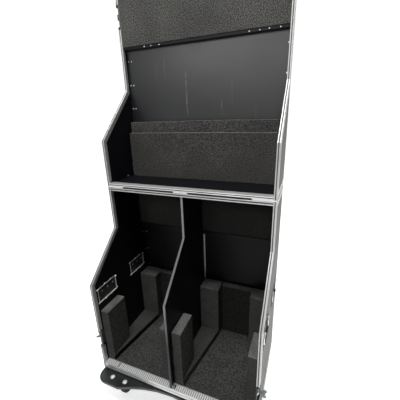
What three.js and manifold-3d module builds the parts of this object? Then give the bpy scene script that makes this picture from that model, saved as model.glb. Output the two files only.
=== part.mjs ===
// A two-module touring case on a castor board, with its front covers off.
// Lower module: two foam-lined bays either side of a divider. Upper module: a shallow
// compartment with two standing foam boards. Both have slanted side profiles.
// Millimetres, +Z up, the open front faces -Y. The origin is at the centre of the
// footprint, on the ground under the wheels.
import * as THREE from "three";
import { mergeVertices } from "three/addons/utils/BufferGeometryUtils.js";
import Module from "manifold-3d";

const wasm = await Module();
wasm.setup();

// ---- driving dimensions -------------------------------------------------------------
const WIDTH = 850; // outside width of both modules
const DEPTH = 500; // outside depth of both modules
const MODULE_H = 980; // outside height of one module
const JOINT_GAP = 8; // height of the feet between the modules
const SKIN = 1.5; // aluminium edge section
const GAP = 0.3; // clearance between touching pieces
const PANEL = 8.7; // plywood panel
const LEG = 28; // leg of the edge angles
const FLANGE = 30; // outer flange of the mouth frame
const WEB = 3; // front web of the mouth frame
const FRAME_W = 14; // width of the mouth frame seen from the front

// side profiles, front edge only: [y, z] measured from the module's own bottom
const LOWER_FRONT = [
  [0, 0],
  [0, 529],
  [227, 753],
  [227, MODULE_H],
];
const UPPER_FRONT = [
  [227, 0],
  [227, 227],
  [459, 468],
  [459, MODULE_H],
];

const SILL_TOP = 33.7; // top lip of the lower sill
const LINING_TOP = 34; // top of the floor lining
const FOAM_TOP = 359; // top of the uprights and of the bays' back pads

const BOARD_T = 18; // castor board
const BOARD_DROP = 8; // packers between case and board
const BOARD_FRONT = -68; // board's front edge, measured from the case front
const BOARD_BACK = 568;
const BOARD_R = 46; // corner radius of the board
const WHEEL_R = 50;
const WHEEL_W = 32;
const CASTOR_H = 128; // board underside to ground
const CASTOR_X = 305; // swivel axes
const CASTOR_Y = [0, 500];
const TRAIL = 32; // axle behind the swivel axis
const BASE_H = BOARD_DROP + BOARD_T + CASTOR_H;

const LATCH_Z = 195; // lower latches, height of their centre
const LATCH_DISH_H = 104;
const LATCH_DISH_D = 52;
const KEEPER_Z = 810; // upper keepers, from the upper module's bottom
const KEEPER_DISH_D = 34;
const HANDLE_Y = [103.5, 375.5]; // centres of the handle dishes
const HANDLE_Z = 444;

const HX = WIDTH / 2;
const IN_X = HX - SKIN - GAP - PANEL - 0.2; // inner face of a side panel
const OUT_X = HX - SKIN - GAP; // outer face of a side panel
const BACK_OUT = DEPTH - SKIN - GAP;
const BACK_IN = BACK_OUT - PANEL;

// ---- shape helpers ------------------------------------------------------------------
const seg = 12;

function solid(geometry) {
  const g = (geometry.index ? geometry.toNonIndexed() : geometry).clone();
  g.deleteAttribute("normal");
  g.deleteAttribute("uv");
  const m = mergeVertices(g, 1e-4);
  return new wasm.Manifold(
    new wasm.Mesh({
      numProp: 3,
      vertProperties: new Float32Array(m.attributes.position.array),
      triVerts: new Uint32Array(m.index.array),
    }),
  );
}

function geometryOf(man) {
  const m = man.getMesh();
  const g = new THREE.BufferGeometry();
  g.setAttribute(
    "position",
    new THREE.BufferAttribute(new Float32Array(m.vertProperties), 3),
  );
  g.setIndex(new THREE.BufferAttribute(new Uint32Array(m.triVerts), 1));
  const flat = g.toNonIndexed();
  flat.computeVertexNormals();
  return flat;
}

const union = (...list) => list.flat().reduce((a, b) => a.add(b));

function box(x0, x1, y0, y1, z0, z1) {
  const g = new THREE.BoxGeometry(
    Math.abs(x1 - x0),
    Math.abs(y1 - y0),
    Math.abs(z1 - z0),
  );
  g.translate((x0 + x1) / 2, (y0 + y1) / 2, (z0 + z1) / 2);
  return solid(g);
}

function outline(points) {
  return new THREE.Shape(points.map((p) => new THREE.Vector2(p[0], p[1])));
}

// profile of [y, z] points, extruded along X
function prismX(points, x0, x1) {
  const a = Math.min(x0, x1);
  const g = new THREE.ExtrudeGeometry(outline(points), {
    depth: Math.abs(x1 - x0),
    bevelEnabled: false,
  });
  g.applyMatrix4(
    new THREE.Matrix4().set(0, 0, 1, a, 1, 0, 0, 0, 0, 1, 0, 0, 0, 0, 0, 1),
  );
  return solid(g);
}

// plan of [x, y] points, extruded along Z
function prismZ(points, z0, z1) {
  const g = new THREE.ExtrudeGeometry(outline(points), {
    depth: z1 - z0,
    bevelEnabled: false,
  });
  g.translate(0, 0, z0);
  return solid(g);
}

function rod(axis, radius, a, b, c0, c1, n = seg) {
  // a cylinder along axis from c0 to c1; (a, b) are its other two coordinates in XYZ order
  const g = new THREE.CylinderGeometry(radius, radius, Math.abs(c1 - c0), n);
  const mid = (c0 + c1) / 2;
  if (axis === "x") {
    g.rotateZ(Math.PI / 2);
    g.translate(mid, a, b);
  } else if (axis === "y") {
    g.translate(a, mid, b);
  } else {
    g.rotateX(Math.PI / 2);
    g.translate(a, b, mid);
  }
  return solid(g);
}

function ball(radius, x, y, z) {
  const g = new THREE.SphereGeometry(radius, 14, 8);
  g.translate(x, y, z);
  return solid(g);
}

// a closed ring of [radius, offset] points turned about an axle along X
function turned(profile, x, y, z, n = 24) {
  const pts = profile.map((p) => new THREE.Vector2(p[0], p[1]));
  pts.push(pts[0].clone());
  const g = new THREE.LatheGeometry(pts, n);
  g.rotateZ(-Math.PI / 2);
  g.translate(x, y, z);
  return solid(g);
}

// the front chain of a profile moved inwards (towards +Y) by d
function inset(chain, d) {
  const dir = [];
  for (let i = 0; i < chain.length - 1; i++) {
    const dy = chain[i + 1][0] - chain[i][0];
    const dz = chain[i + 1][1] - chain[i][1];
    const l = Math.hypot(dy, dz);
    dir.push([dy / l, dz / l]);
  }
  return chain.map((p, i) => {
    const a = dir[Math.max(i - 1, 0)];
    const b = dir[Math.min(i, dir.length - 1)];
    const na = [a[1], -a[0]];
    const nb = [b[1], -b[0]];
    const k = d / (1 + na[0] * nb[0] + na[1] * nb[1]);
    return [p[0] + (na[0] + nb[0]) * k, p[1] + (na[1] + nb[1]) * k];
  });
}

// a band along the front chain, d deep
const band = (chain, d) => [...chain, ...inset(chain, d).reverse()];

// a panel's whole side outline, behind the front chain by d and within z0..z1
function sideOutline(chain, d, z0, z1, back) {
  const c = inset(chain, d).map((p) => [...p]);
  c[0][1] = z0;
  c[c.length - 1][1] = z1;
  return [...c, [back, z1], [back, z0]];
}

const looks = {
  laminate: { color: 0x14151a, roughness: 0.42, metalness: 0.0 },
  laminateOut: { color: 0x5b5a54, roughness: 0.5, metalness: 0.0 },
  foam: { color: 0x3b3b3a, roughness: 0.96, metalness: 0.0 },
  aluminium: { color: 0xc9cac8, roughness: 0.34, metalness: 1.0 },
  steel: { color: 0x2c3230, roughness: 0.4, metalness: 0.8 },
  zinc: { color: 0xaab0ae, roughness: 0.32, metalness: 1.0 },
  boardPaint: { color: 0x17191f, roughness: 0.32, metalness: 0.0 },
  rubber: { color: 0x1c1c1c, roughness: 0.85, metalness: 0.0 },
  wheel: { color: 0x2b4a6e, roughness: 0.6, metalness: 0.0 },
};

const lower = new THREE.Group();
const upper = new THREE.Group();
const base = new THREE.Group();
upper.position.z = MODULE_H + JOINT_GAP;

function put(group, name, look, man) {
  const mesh = new THREE.Mesh(
    geometryOf(man),
    new THREE.MeshStandardMaterial({ name: look, ...looks[look] }),
  );
  mesh.name = name;
  group.add(mesh);
  return mesh;
}

// ---- one module's shell -------------------------------------------------------------
function latchCut(side, y, z, deep) {
  // clearance for a latch dish that interrupts the frame at the front edge
  const o = side * (HX + 1);
  const i = side * (HX - 12.2);
  return box(o, i, y - 1, y + deep, z - LATCH_DISH_H / 2 - 0.5, z + LATCH_DISH_H / 2 + 0.5);
}

function panelLatchCut(side, y, z, deep) {
  const o = side * (HX + 1);
  const i = side * (HX - 20);
  const h = LATCH_DISH_H / 2 - 9;
  return box(o, i, y - 1, y + deep - 8, z - h, z + h);
}

function handleCut(side, y, z) {
  return box(side * (HX + 2), side * (IN_X - 2), y - 67, y + 67, z - 40.5, z + 40.5);
}

function sidePanel(side, chain, latchY, latchZ, latchD, handles) {
  let p = prismX(
    sideOutline(chain, WEB + GAP, SKIN + GAP, MODULE_H - SKIN - GAP, BACK_OUT),
    side * IN_X,
    side * OUT_X,
  );
  p = p.subtract(panelLatchCut(side, latchY, latchZ, latchD));
  if (handles) HANDLE_Y.forEach((y) => (p = p.subtract(handleCut(side, y, HANDLE_Z))));
  return p;
}

// the same band between two depths, run past both ends, for cutting
function cutter(chain, d0, d1) {
  const over = chain.map((p) => [...p]);
  over[0][1] -= 5;
  over[over.length - 1][1] += 5;
  return [...inset(over, d0), ...inset(over, d1).reverse()];
}

// U-section edging round the mouth: a front web, a deep outer flange and a short inner lip
function mouthFrame(chain, sillTop, headBottom, latchZ, latchY, latchD) {
  const y0 = chain[0][0];
  const y1 = chain[3][0];
  const parts = [];
  for (const s of [-1, 1])
    parts.push(
      prismX(band(chain, FLANGE), s * HX, s * (HX - FRAME_W))
        .subtract(prismX(cutter(chain, WEB, 45), s * (HX - SKIN), s * (HX - FRAME_W + 2.2)))
        .subtract(prismX(cutter(chain, 9, 45), s * (HX - FRAME_W + 4), s * (HX - FRAME_W - 4))),
    );
  // sill
  parts.push(box(-HX + 1, HX - 1, y0 + 0.1, y0 + WEB, 0.1, sillTop));
  parts.push(box(-HX + 0.7, HX - 0.7, y0 + 0.5, y0 + FLANGE - 0.5, 0.2, SKIN + 0.1));
  parts.push(box(-HX + 13, HX - 13, y0 + 0.5, y0 + 32.7, sillTop - SKIN, sillTop - 0.1));
  // head
  parts.push(box(-HX + 1, HX - 1, y1 + 0.1, y1 + WEB, headBottom, MODULE_H - 0.1));
  parts.push(
    box(-HX + 0.7, HX - 0.7, y1 + 0.5, y1 + FLANGE - 0.5, MODULE_H - SKIN - 0.1, MODULE_H - 0.2),
  );
  parts.push(box(-HX + 13, HX - 13, y1 + 0.5, y1 + 8.5, headBottom + 0.1, headBottom + SKIN));
  let f = union(parts);
  for (const s of [-1, 1]) f = f.subtract(latchCut(s, latchY, latchZ, latchD));
  return f;
}

// L-shaped angle edges behind the mouth frame, with a ball corner at each back corner
function edgeFrame(yBottom, yTop) {
  const t = MODULE_H;
  const parts = [];
  for (const s of [-1, 1]) {
    const o = s * HX;
    // bottom edge
    parts.push(box(o, o - s * SKIN, yBottom, DEPTH, 0, LEG));
    parts.push(box(o, o - s * LEG, yBottom, DEPTH, 0, SKIN));
    // top edge
    parts.push(box(o, o - s * SKIN, yTop, DEPTH, t - LEG, t));
    parts.push(box(o, o - s * LEG, yTop, DEPTH, t - SKIN, t));
    // upright
    parts.push(box(o, o - s * SKIN, DEPTH - LEG, DEPTH, 0, t));
    parts.push(box(o, o - s * LEG, DEPTH - SKIN, DEPTH, 0, t));
  }
  for (const z of [0, t]) {
    const a = z === 0 ? 0 : t - LEG;
    const b = z === 0 ? LEG : t;
    const c = z === 0 ? SKIN : t - SKIN;
    parts.push(box(-HX, HX, DEPTH - SKIN, DEPTH, a, b));
    parts.push(box(-HX, HX, DEPTH - LEG, DEPTH, z, c));
  }
  const inner = box(
    -(HX - SKIN - 0.1),
    HX - SKIN - 0.1,
    0,
    DEPTH - SKIN - 0.1,
    SKIN + 0.1,
    t - SKIN - 0.1,
  );
  const R = 27;
  const IN = 24.5;
  for (const s of [-1, 1])
    for (const z of [IN, t - IN])
      parts.push(ball(R, s * (HX - IN), DEPTH - IN, z).subtract(inner));
  return union(parts);
}

// ---- lower module -------------------------------------------------------------------
const latchD = LATCH_DISH_D + 1;
for (const [s, n] of [
  [-1, "left"],
  [1, "right"],
])
  put(
    lower,
    `lower_${n}_side_panel`,
    "laminate",
    sidePanel(s, LOWER_FRONT, 0, LATCH_Z, latchD, true),
  );
const IN_GAP = IN_X - GAP;
const LIP_IN = HX - FRAME_W - 0.4; // clear of the mouth frame's inner lip
// floor and roof panels are notched round the mouth frame's inner lip
function crossPanel(y0, z0, z1) {
  let p = box(-IN_GAP, IN_GAP, y0 + WEB + GAP, BACK_IN - GAP, z0, z1);
  for (const s of [-1, 1])
    p = p.subtract(box(s * LIP_IN, s * (HX + 5), y0 - 1, y0 + 9.6, z0 - 1, z1 + 1));
  return p;
}
put(
  lower,
  "lower_back_panel",
  "laminate",
  box(-IN_GAP, IN_GAP, BACK_IN, BACK_OUT, SKIN + GAP, MODULE_H - SKIN - GAP),
);
const FLOOR_TOP = SKIN + GAP + PANEL;
put(
  lower,
  "lower_floor_panel",
  "laminate",
  crossPanel(0, SKIN + GAP, FLOOR_TOP),
);
const ROOF_UNDER = MODULE_H - SKIN - GAP - PANEL;
put(
  lower,
  "lower_roof_panel",
  "laminate",
  crossPanel(227, ROOF_UNDER, MODULE_H - SKIN - GAP),
);
put(
  lower,
  "floor_lining",
  "foam",
  box(-IN_GAP + 1.5, IN_GAP - 1.5, 34, BACK_IN - GAP, FLOOR_TOP + GAP, LINING_TOP),
);

// divider: the same profile as the sides, standing on the lining
const DIV_X0 = -9.2;
const DIV_X1 = 2.2;
const divChain = inset(LOWER_FRONT, 3.2);
put(
  lower,
  "centre_divider",
  "laminate",
  prismX(
    [
      [divChain[0][0] + 31, LINING_TOP + GAP],
      [divChain[0][0], LINING_TOP + GAP],
      divChain[1],
      divChain[2],
      [divChain[2][0], 963],
      [244, 963],
      [244, ROOF_UNDER - GAP],
      [BACK_IN - GAP, ROOF_UNDER - GAP],
      [BACK_IN - GAP, LINING_TOP + GAP],
    ],
    DIV_X0,
    DIV_X1,
  ),
);
{
  const cut = (c) => {
    const o = c.map((p) => [...p]);
    o[0][1] = LINING_TOP + GAP;
    o[3][1] = 963;
    return o;
  };
  const outer = cut(inset(LOWER_FRONT, 1.2));
  const mid = cut(inset(LOWER_FRONT, 2.9));
  const deep = cut(inset(LOWER_FRONT, 13));
  put(
    lower,
    "divider_front_cap",
    "aluminium",
    union(
      prismX([...outer, ...mid.slice().reverse()], DIV_X0 - 1.5, DIV_X1 + 1.5),
      prismX([...outer, ...deep.slice().reverse()], DIV_X0 - 1.5, DIV_X0 - GAP),
      prismX([...outer, ...deep.slice().reverse()], DIV_X1 + GAP, DIV_X1 + 1.5),
    ),
  );
}

// foam cheeks: a front upright, a low tapering strip and a wider back upright in one block
function cheek(wall, dir) {
  const z0 = LINING_TOP + GAP;
  const w0 = wall;
  const front = wall + dir * 49;
  const back = wall + dir * 114;
  return union(
    box(w0, front, 30, 170, z0, FOAM_TOP),
    prismZ(
      dir > 0
        ? [
            [w0, 30],
            [front, 30],
            [back, 394],
            [back, BACK_IN - GAP],
            [w0, BACK_IN - GAP],
          ]
        : [
            [w0, 30],
            [w0, BACK_IN - GAP],
            [back, BACK_IN - GAP],
            [back, 394],
            [front, 30],
          ],
      z0,
      73,
    ),
    box(w0, back, 394, BACK_IN - GAP, z0, FOAM_TOP),
  );
}
const WALL_IN = IN_GAP;
const DIV_L = DIV_X0 - 1.5 - GAP;
const DIV_R = DIV_X1 + 1.5 + GAP;
put(lower, "left_bay_left_cheek", "foam", cheek(-WALL_IN, 1));
put(lower, "left_bay_right_cheek", "foam", cheek(DIV_L, -1));
put(lower, "right_bay_left_cheek", "foam", cheek(DIV_R, 1));
put(lower, "right_bay_right_cheek", "foam", cheek(WALL_IN, -1));
const BACK_PAD_Y = 449;
put(
  lower,
  "left_bay_back_pad",
  "foam",
  box(-WALL_IN + 114 + 1, DIV_L - 114 - 1, BACK_PAD_Y, BACK_IN - GAP, LINING_TOP + GAP, FOAM_TOP),
);
put(
  lower,
  "right_bay_back_pad",
  "foam",
  box(DIV_R + 114 + 1, WALL_IN - 114 - 1, BACK_PAD_Y, BACK_IN - GAP, LINING_TOP + GAP, FOAM_TOP),
);
put(
  lower,
  "left_bay_upper_pad",
  "foam",
  box(-WALL_IN, DIV_L, 460, BACK_IN - GAP, 695, ROOF_UNDER - GAP),
);
put(
  lower,
  "right_bay_upper_pad",
  "foam",
  box(DIV_R, WALL_IN, 460, BACK_IN - GAP, 695, ROOF_UNDER - GAP),
);

put(
  lower,
  "lower_mouth_frame",
  "aluminium",
  mouthFrame(LOWER_FRONT, SILL_TOP, 963.5, LATCH_Z, 0, latchD + 9),
);
put(
  lower,
  "lower_edge_frame",
  "aluminium",
  edgeFrame(FLANGE + GAP, 227 + FLANGE + GAP),
);

// ---- recessed handles ---------------------------------------------------------------
// pressed dish: a flange on the outside and a shallow tray that stays inside the panel's thickness
const DISH_FACE = 0.3; // flange stands off the panel's outer face
function handleDish(s, y, z) {
  const f0 = s * (OUT_X + DISH_FACE);
  const f1 = s * (OUT_X + DISH_FACE + 1.2);
  const back = s * (IN_X + 4.5);
  const outer = union(
    box(f0, f1, y - 73, y + 73, z - 49, z + 49),
    box(f1, back, y - 66.5, y + 66.5, z - 40, z + 40),
  );
  return outer.subtract(
    box(s * (HX + 5), back + s * 1.2, y - 65.3, y + 65.3, z - 38.8, z + 38.8),
  );
}
const GRIP_X = OUT_X + 3.4; // pivot and grip, from the centre line; the grip stands proud of the side
const GRIP_PIVOT_Z = HANDLE_Z + 29;
function grip(s, y) {
  const x = s * GRIP_X;
  const z = GRIP_PIVOT_Z;
  return union(
    box(x - 3, x + 3, y - 58, y - 52, z - 46, z + 4),
    box(x - 3, x + 3, y + 52, y + 58, z - 46, z + 4),
    rod("y", 3.6, x, z, y - 63.5, y + 63.5, 10),
    rod("y", 5.5, x, z - 46, y - 59, y + 59, 12),
  );
}
for (const [s, n] of [
  [-1, "left"],
  [1, "right"],
])
  for (const [i, m] of [
    [0, "front"],
    [1, "rear"],
  ]) {
    put(lower, `${n}_${m}_handle_dish`, "steel", handleDish(s, HANDLE_Y[i], HANDLE_Z));
    put(lower, `${n}_${m}_handle_grip`, "rubber", grip(s, HANDLE_Y[i]));
  }

// ---- latches ------------------------------------------------------------------------
// half dish at the front edge: open to the front and outwards
function latchDish(s, y, z, deep) {
  const h = LATCH_DISH_H / 2;
  const f0 = s * (OUT_X + DISH_FACE);
  const f1 = s * (OUT_X + DISH_FACE + 1.2);
  const back = s * (HX - 10.6);
  const outer = union(
    box(f0, f1, y + 0.3, y + deep, z - h, z + h),
    box(f1, back, y + 0.3, y + deep - 9.5, z - h + 9.5, z + h - 9.5),
  );
  return outer.subtract(
    box(s * (HX + 5), back + s * 1.2, y - 5, y + deep - 10.7, z - h + 10.7, z + h - 10.7),
  );
}
const LATCH_FLOOR = HX - 10.6 + 1.2;
const ROTOR_Y = 19.5;
for (const [s, n] of [
  [-1, "left"],
  [1, "right"],
]) {
  put(lower, `lower_${n}_latch_dish`, "steel", latchDish(s, 0, LATCH_Z, LATCH_DISH_D));
  // turning disc with its catch claw, pointing back while open
  const a = s * (LATCH_FLOOR + GAP);
  const b = s * (LATCH_FLOOR + GAP + 3);
  put(
    lower,
    `lower_${n}_latch_rotor`,
    "zinc",
    union(
      rod("x", 13, ROTOR_Y, LATCH_Z, a, b, 16),
      box(a, s * (LATCH_FLOOR + GAP + 2), ROTOR_Y, ROTOR_Y + 19, LATCH_Z - 7, LATCH_Z + 7),
      box(b - s, s * (LATCH_FLOOR + GAP + 5), ROTOR_Y - 9, ROTOR_Y - 5, LATCH_Z - 4, LATCH_Z + 4),
      box(b - s, s * (LATCH_FLOOR + GAP + 5), ROTOR_Y + 5, ROTOR_Y + 9, LATCH_Z - 4, LATCH_Z + 4),
    ),
  );
  // folding wing, standing out
  const w0 = s * (LATCH_FLOOR + GAP + 4);
  const g = new THREE.Shape();
  g.moveTo(-4.4, 0);
  g.lineTo(4.4, 0);
  g.lineTo(4.4, 8);
  g.lineTo(16, 15);
  g.lineTo(17, 28);
  g.lineTo(11, 33.4);
  g.lineTo(-11, 33.4);
  g.lineTo(-17, 28);
  g.lineTo(-16, 15);
  g.lineTo(-4.4, 8);
  const w = new THREE.ExtrudeGeometry(g, { depth: 3, bevelEnabled: false });
  // local x -> Y, local y -> outwards, depth -> Z
  w.applyMatrix4(
    new THREE.Matrix4().set(
      0, s, 0, w0,
      s, 0, 0, ROTOR_Y,
      0, 0, -1, LATCH_Z + 1.5,
      0, 0, 0, 1,
    ),
  );
  put(lower, `lower_${n}_latch_wing`, "zinc", solid(w));
}

// ---- upper module -------------------------------------------------------------------
const keeperD = KEEPER_DISH_D + 1;
for (const [s, n] of [
  [-1, "left"],
  [1, "right"],
]) {
  put(
    upper,
    `upper_${n}_side_panel`,
    "laminate",
    sidePanel(s, UPPER_FRONT, 459, KEEPER_Z, keeperD, false),
  );
  // half dish with its fixed catch plate
  const f = HX - 10.6 + 0.6;
  put(
    upper,
    `upper_${n}_keeper_dish`,
    "steel",
    union(
      latchDish(s, 459, KEEPER_Z, KEEPER_DISH_D),
      box(s * f, s * (f + 3), 459.3, 476, KEEPER_Z - 13, KEEPER_Z + 13),
      box(s * f, s * (f + 8), 459.3, 462.3, KEEPER_Z - 13, KEEPER_Z + 13),
    ),
  );
}
put(
  upper,
  "upper_back_panel",
  "laminate",
  box(-IN_GAP, IN_GAP, BACK_IN, BACK_OUT, SKIN + GAP, MODULE_H - SKIN - GAP),
);
put(
  upper,
  "upper_floor_panel",
  "laminate",
  crossPanel(227, SKIN + GAP, FLOOR_TOP),
);
put(
  upper,
  "upper_roof_panel",
  "laminate",
  crossPanel(459, ROOF_UNDER, MODULE_H - SKIN - GAP),
);
put(
  upper,
  "upper_wall_pad",
  "foam",
  box(-LIP_IN, LIP_IN, 463, BACK_IN - GAP, 676, 962),
);
put(
  upper,
  "pad_ledge",
  "laminate",
  box(-LIP_IN, LIP_IN, 466, BACK_IN - GAP, 664, 675.7),
);
put(
  upper,
  "front_foam_board",
  "foam",
  box(-405, 392, 427, 452, FLOOR_TOP + GAP, 253),
);
put(
  upper,
  "rear_foam_board",
  "foam",
  box(-410, 390, 457, 484, FLOOR_TOP + GAP, 310),
);
{
  const frame = mouthFrame(UPPER_FRONT, 14, 963.5, KEEPER_Z, 459, keeperD);
  // front feet that carry the upper module on the lower one
  const feet = [
    [-HX + 0.6, -331],
    [-45, 28],
    [324, HX - 0.6],
  ].map(([a, b]) => box(a, b, 227.6, 256.2, -JOINT_GAP + GAP, 1));
  put(upper, "upper_mouth_frame", "aluminium", union(frame, feet));
}
{
  let frame = edgeFrame(227 + FLANGE + GAP, 459 + FLANGE + GAP);
  for (const s of [-1, 1])
    frame = frame.subtract(latchCut(s, 459, KEEPER_Z, keeperD));
  // the shallow top leaves the edge only what is behind the mouth frame's flange
  frame = frame.subtract(
    box(-HX - 9, HX + 9, DEPTH - 60, 459 + FLANGE + GAP, 425, MODULE_H + 9),
  );
  const feet = [
    [-380, -280],
    [-50, 50],
    [280, 380],
  ].map(([a, b]) => box(a, b, DEPTH - 26, DEPTH - 4, -JOINT_GAP + GAP, 1));
  put(upper, "upper_edge_frame", "aluminium", union(frame, feet));
}

// ---- castor board and castors -------------------------------------------------------
function boardOutline() {
  const s = new THREE.Shape();
  const x = HX;
  const f = BOARD_FRONT;
  const b = BOARD_BACK;
  const R = BOARD_R;
  const arc = (cx, cy, a0, a1) => {
    const pts = [];
    for (let i = 0; i <= 5; i++) {
      const a = a0 + ((a1 - a0) * i) / 5;
      pts.push([cx + R * Math.cos(a), cy + R * Math.sin(a)]);
    }
    return pts;
  };
  // hollow sweeps between the castors, front and back
  const sweep = [
    [-284, 0],
    [-226, 24],
    [-160, 45],
    [-85, 60],
    [0, 66],
    [85, 60],
    [160, 45],
    [226, 24],
    [284, 0],
  ];
  const P = Math.PI;
  const pts = [
    ...arc(-x + R, f + R, P, 1.5 * P),
    ...sweep.map(([a, d]) => [a, f + d]),
    ...arc(x - R, f + R, 1.5 * P, 2 * P),
    ...arc(x - R, b - R, 0, 0.5 * P),
    ...sweep
      .slice()
      .reverse()
      .map(([a, d]) => [a, b - d]),
    ...arc(-x + R, b - R, 0.5 * P, P),
  ];
  return pts;
}
const BOARD_TOP = -BOARD_DROP;
const BOARD_UNDER = BOARD_TOP - BOARD_T;
put(
  base,
  "wheelboard",
  "boardPaint",
  union(
    prismZ(boardOutline(), BOARD_UNDER, BOARD_TOP),
    box(-HX + 40, HX - 40, 60, 100, BOARD_TOP - 1, -GAP),
    box(-HX + 40, HX - 40, 400, 440, BOARD_TOP - 1, -GAP),
  ),
);

const PLATE_T = 3;
const HEAD_Z = BOARD_UNDER - GAP - PLATE_T - GAP;
const AXLE_Z = -BASE_H + WHEEL_R;
for (const [i, m] of [
  [0, "front"],
  [1, "rear"],
])
  for (const [s, n] of [
    [-1, "left"],
    [1, "right"],
  ]) {
    const x = s * CASTOR_X;
    const y = CASTOR_Y[i];
    const ay = y + TRAIL;
    put(
      base,
      `${m}_${n}_castor_plate`,
      "zinc",
      box(x - 52, x + 52, y - 42, y + 42, HEAD_Z + GAP, HEAD_Z + GAP + PLATE_T),
    );
    const leg = (x0, x1) =>
      prismX(
        [
          [y - 24, HEAD_Z - 9],
          [y + 30, HEAD_Z - 9],
          [ay + 14, AXLE_Z + 8],
          [ay + 9, AXLE_Z - 10],
          [ay - 9, AXLE_Z - 10],
          [ay - 15, AXLE_Z + 10],
        ],
        x0,
        x1,
      );
    put(
      base,
      `${m}_${n}_castor_fork`,
      "zinc",
      union(
        rod("z", 33, x, y, HEAD_Z - 7, HEAD_Z, 20),
        box(x - 22.5, x + 22.5, y - 24, y + 30, HEAD_Z - 12, HEAD_Z - 6),
        leg(x - 22.5, x - 19.5),
        leg(x + 19.5, x + 22.5),
        rod("x", 5, ay, AXLE_Z, x - 27, x + 27, 10),
      ),
    );
    put(
      base,
      `${m}_${n}_castor_wheel`,
      "wheel",
      turned(
        [
          [5.6, -18.5],
          [13, -18.5],
          [15, -11],
          [36, -11],
          [39, -WHEEL_W / 2],
          [WHEEL_R - 3, -WHEEL_W / 2],
          [WHEEL_R, -WHEEL_W / 2 + 5],
          [WHEEL_R, WHEEL_W / 2 - 5],
          [WHEEL_R - 3, WHEEL_W / 2],
          [39, WHEEL_W / 2],
          [36, 11],
          [15, 11],
          [13, 18.5],
          [5.6, 18.5],
        ],
        x,
        ay,
        AXLE_Z,
      ),
    );
    if (m === "front")
      // brake pedal behind the fork, over the wheel, pressed down to lock
      put(
        base,
        `${m}_${n}_brake_pedal`,
        "steel",
        prismX(
          [
            [y + 34, HEAD_Z - 11.4],
            [y + 34, HEAD_Z - 5.4],
            [y + 37, HEAD_Z - 3.4],
            [y + 84, HEAD_Z - 22.4],
            [y + 84, HEAD_Z - 26.4],
            [y + 79, HEAD_Z - 26.4],
            [y + 38, HEAD_Z - 11.4],
          ],
          x - 18.5,
          x + 18.5,
        ),
      );
  }

// ---- the part's own frame -----------------------------------------------------------
const FRONTMOST = BOARD_FRONT;
const BACKMOST = CASTOR_Y[1] + TRAIL + WHEEL_R;
const part = new THREE.Group();
part.position.set(0, -(FRONTMOST + BACKMOST) / 2, BASE_H);
part.add(base, lower, upper);

export default part;
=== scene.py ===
# A two-module touring case on a castor board: the finished look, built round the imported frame.
import bpy, bmesh, math, random
from mathutils import Vector, Matrix, noise


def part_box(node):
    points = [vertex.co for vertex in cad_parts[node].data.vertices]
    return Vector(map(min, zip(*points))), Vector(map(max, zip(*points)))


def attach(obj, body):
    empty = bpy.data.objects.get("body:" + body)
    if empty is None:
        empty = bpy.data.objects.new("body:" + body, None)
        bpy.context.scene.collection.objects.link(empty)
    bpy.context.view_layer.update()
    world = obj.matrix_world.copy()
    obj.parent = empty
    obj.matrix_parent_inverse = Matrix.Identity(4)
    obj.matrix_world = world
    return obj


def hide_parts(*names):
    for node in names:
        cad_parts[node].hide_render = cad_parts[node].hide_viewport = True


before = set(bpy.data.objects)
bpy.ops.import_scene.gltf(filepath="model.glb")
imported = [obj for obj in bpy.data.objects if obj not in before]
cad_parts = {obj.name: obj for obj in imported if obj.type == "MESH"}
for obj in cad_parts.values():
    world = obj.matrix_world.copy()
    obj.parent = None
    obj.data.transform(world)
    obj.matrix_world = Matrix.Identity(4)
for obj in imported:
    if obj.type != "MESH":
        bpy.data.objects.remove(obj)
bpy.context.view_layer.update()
MM = 0.001

# ---- where the CAD puts things ---------------------------------------------------------
mouth_lo, mouth_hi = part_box("lower_mouth_frame")
CY = mouth_lo.y                   # front plane of the case
CZ = 0.154                        # underside of the lower module
UZ = CZ + 0.988                   # underside of the upper module
HX = mouth_hi.x


def L(x, y, z):
    """lower-module millimetres to the row frame"""
    return Vector((x * MM, CY + y * MM, CZ + z * MM))


def U(x, y, z):
    """upper-module millimetres to the row frame"""
    return Vector((x * MM, CY + y * MM, UZ + z * MM))


LOWER_CHAIN = [(0, 0), (0, 529), (227, 753), (227, 980)]
UPPER_CHAIN = [(227, 0), (227, 227), (459, 468), (459, 980)]


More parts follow.
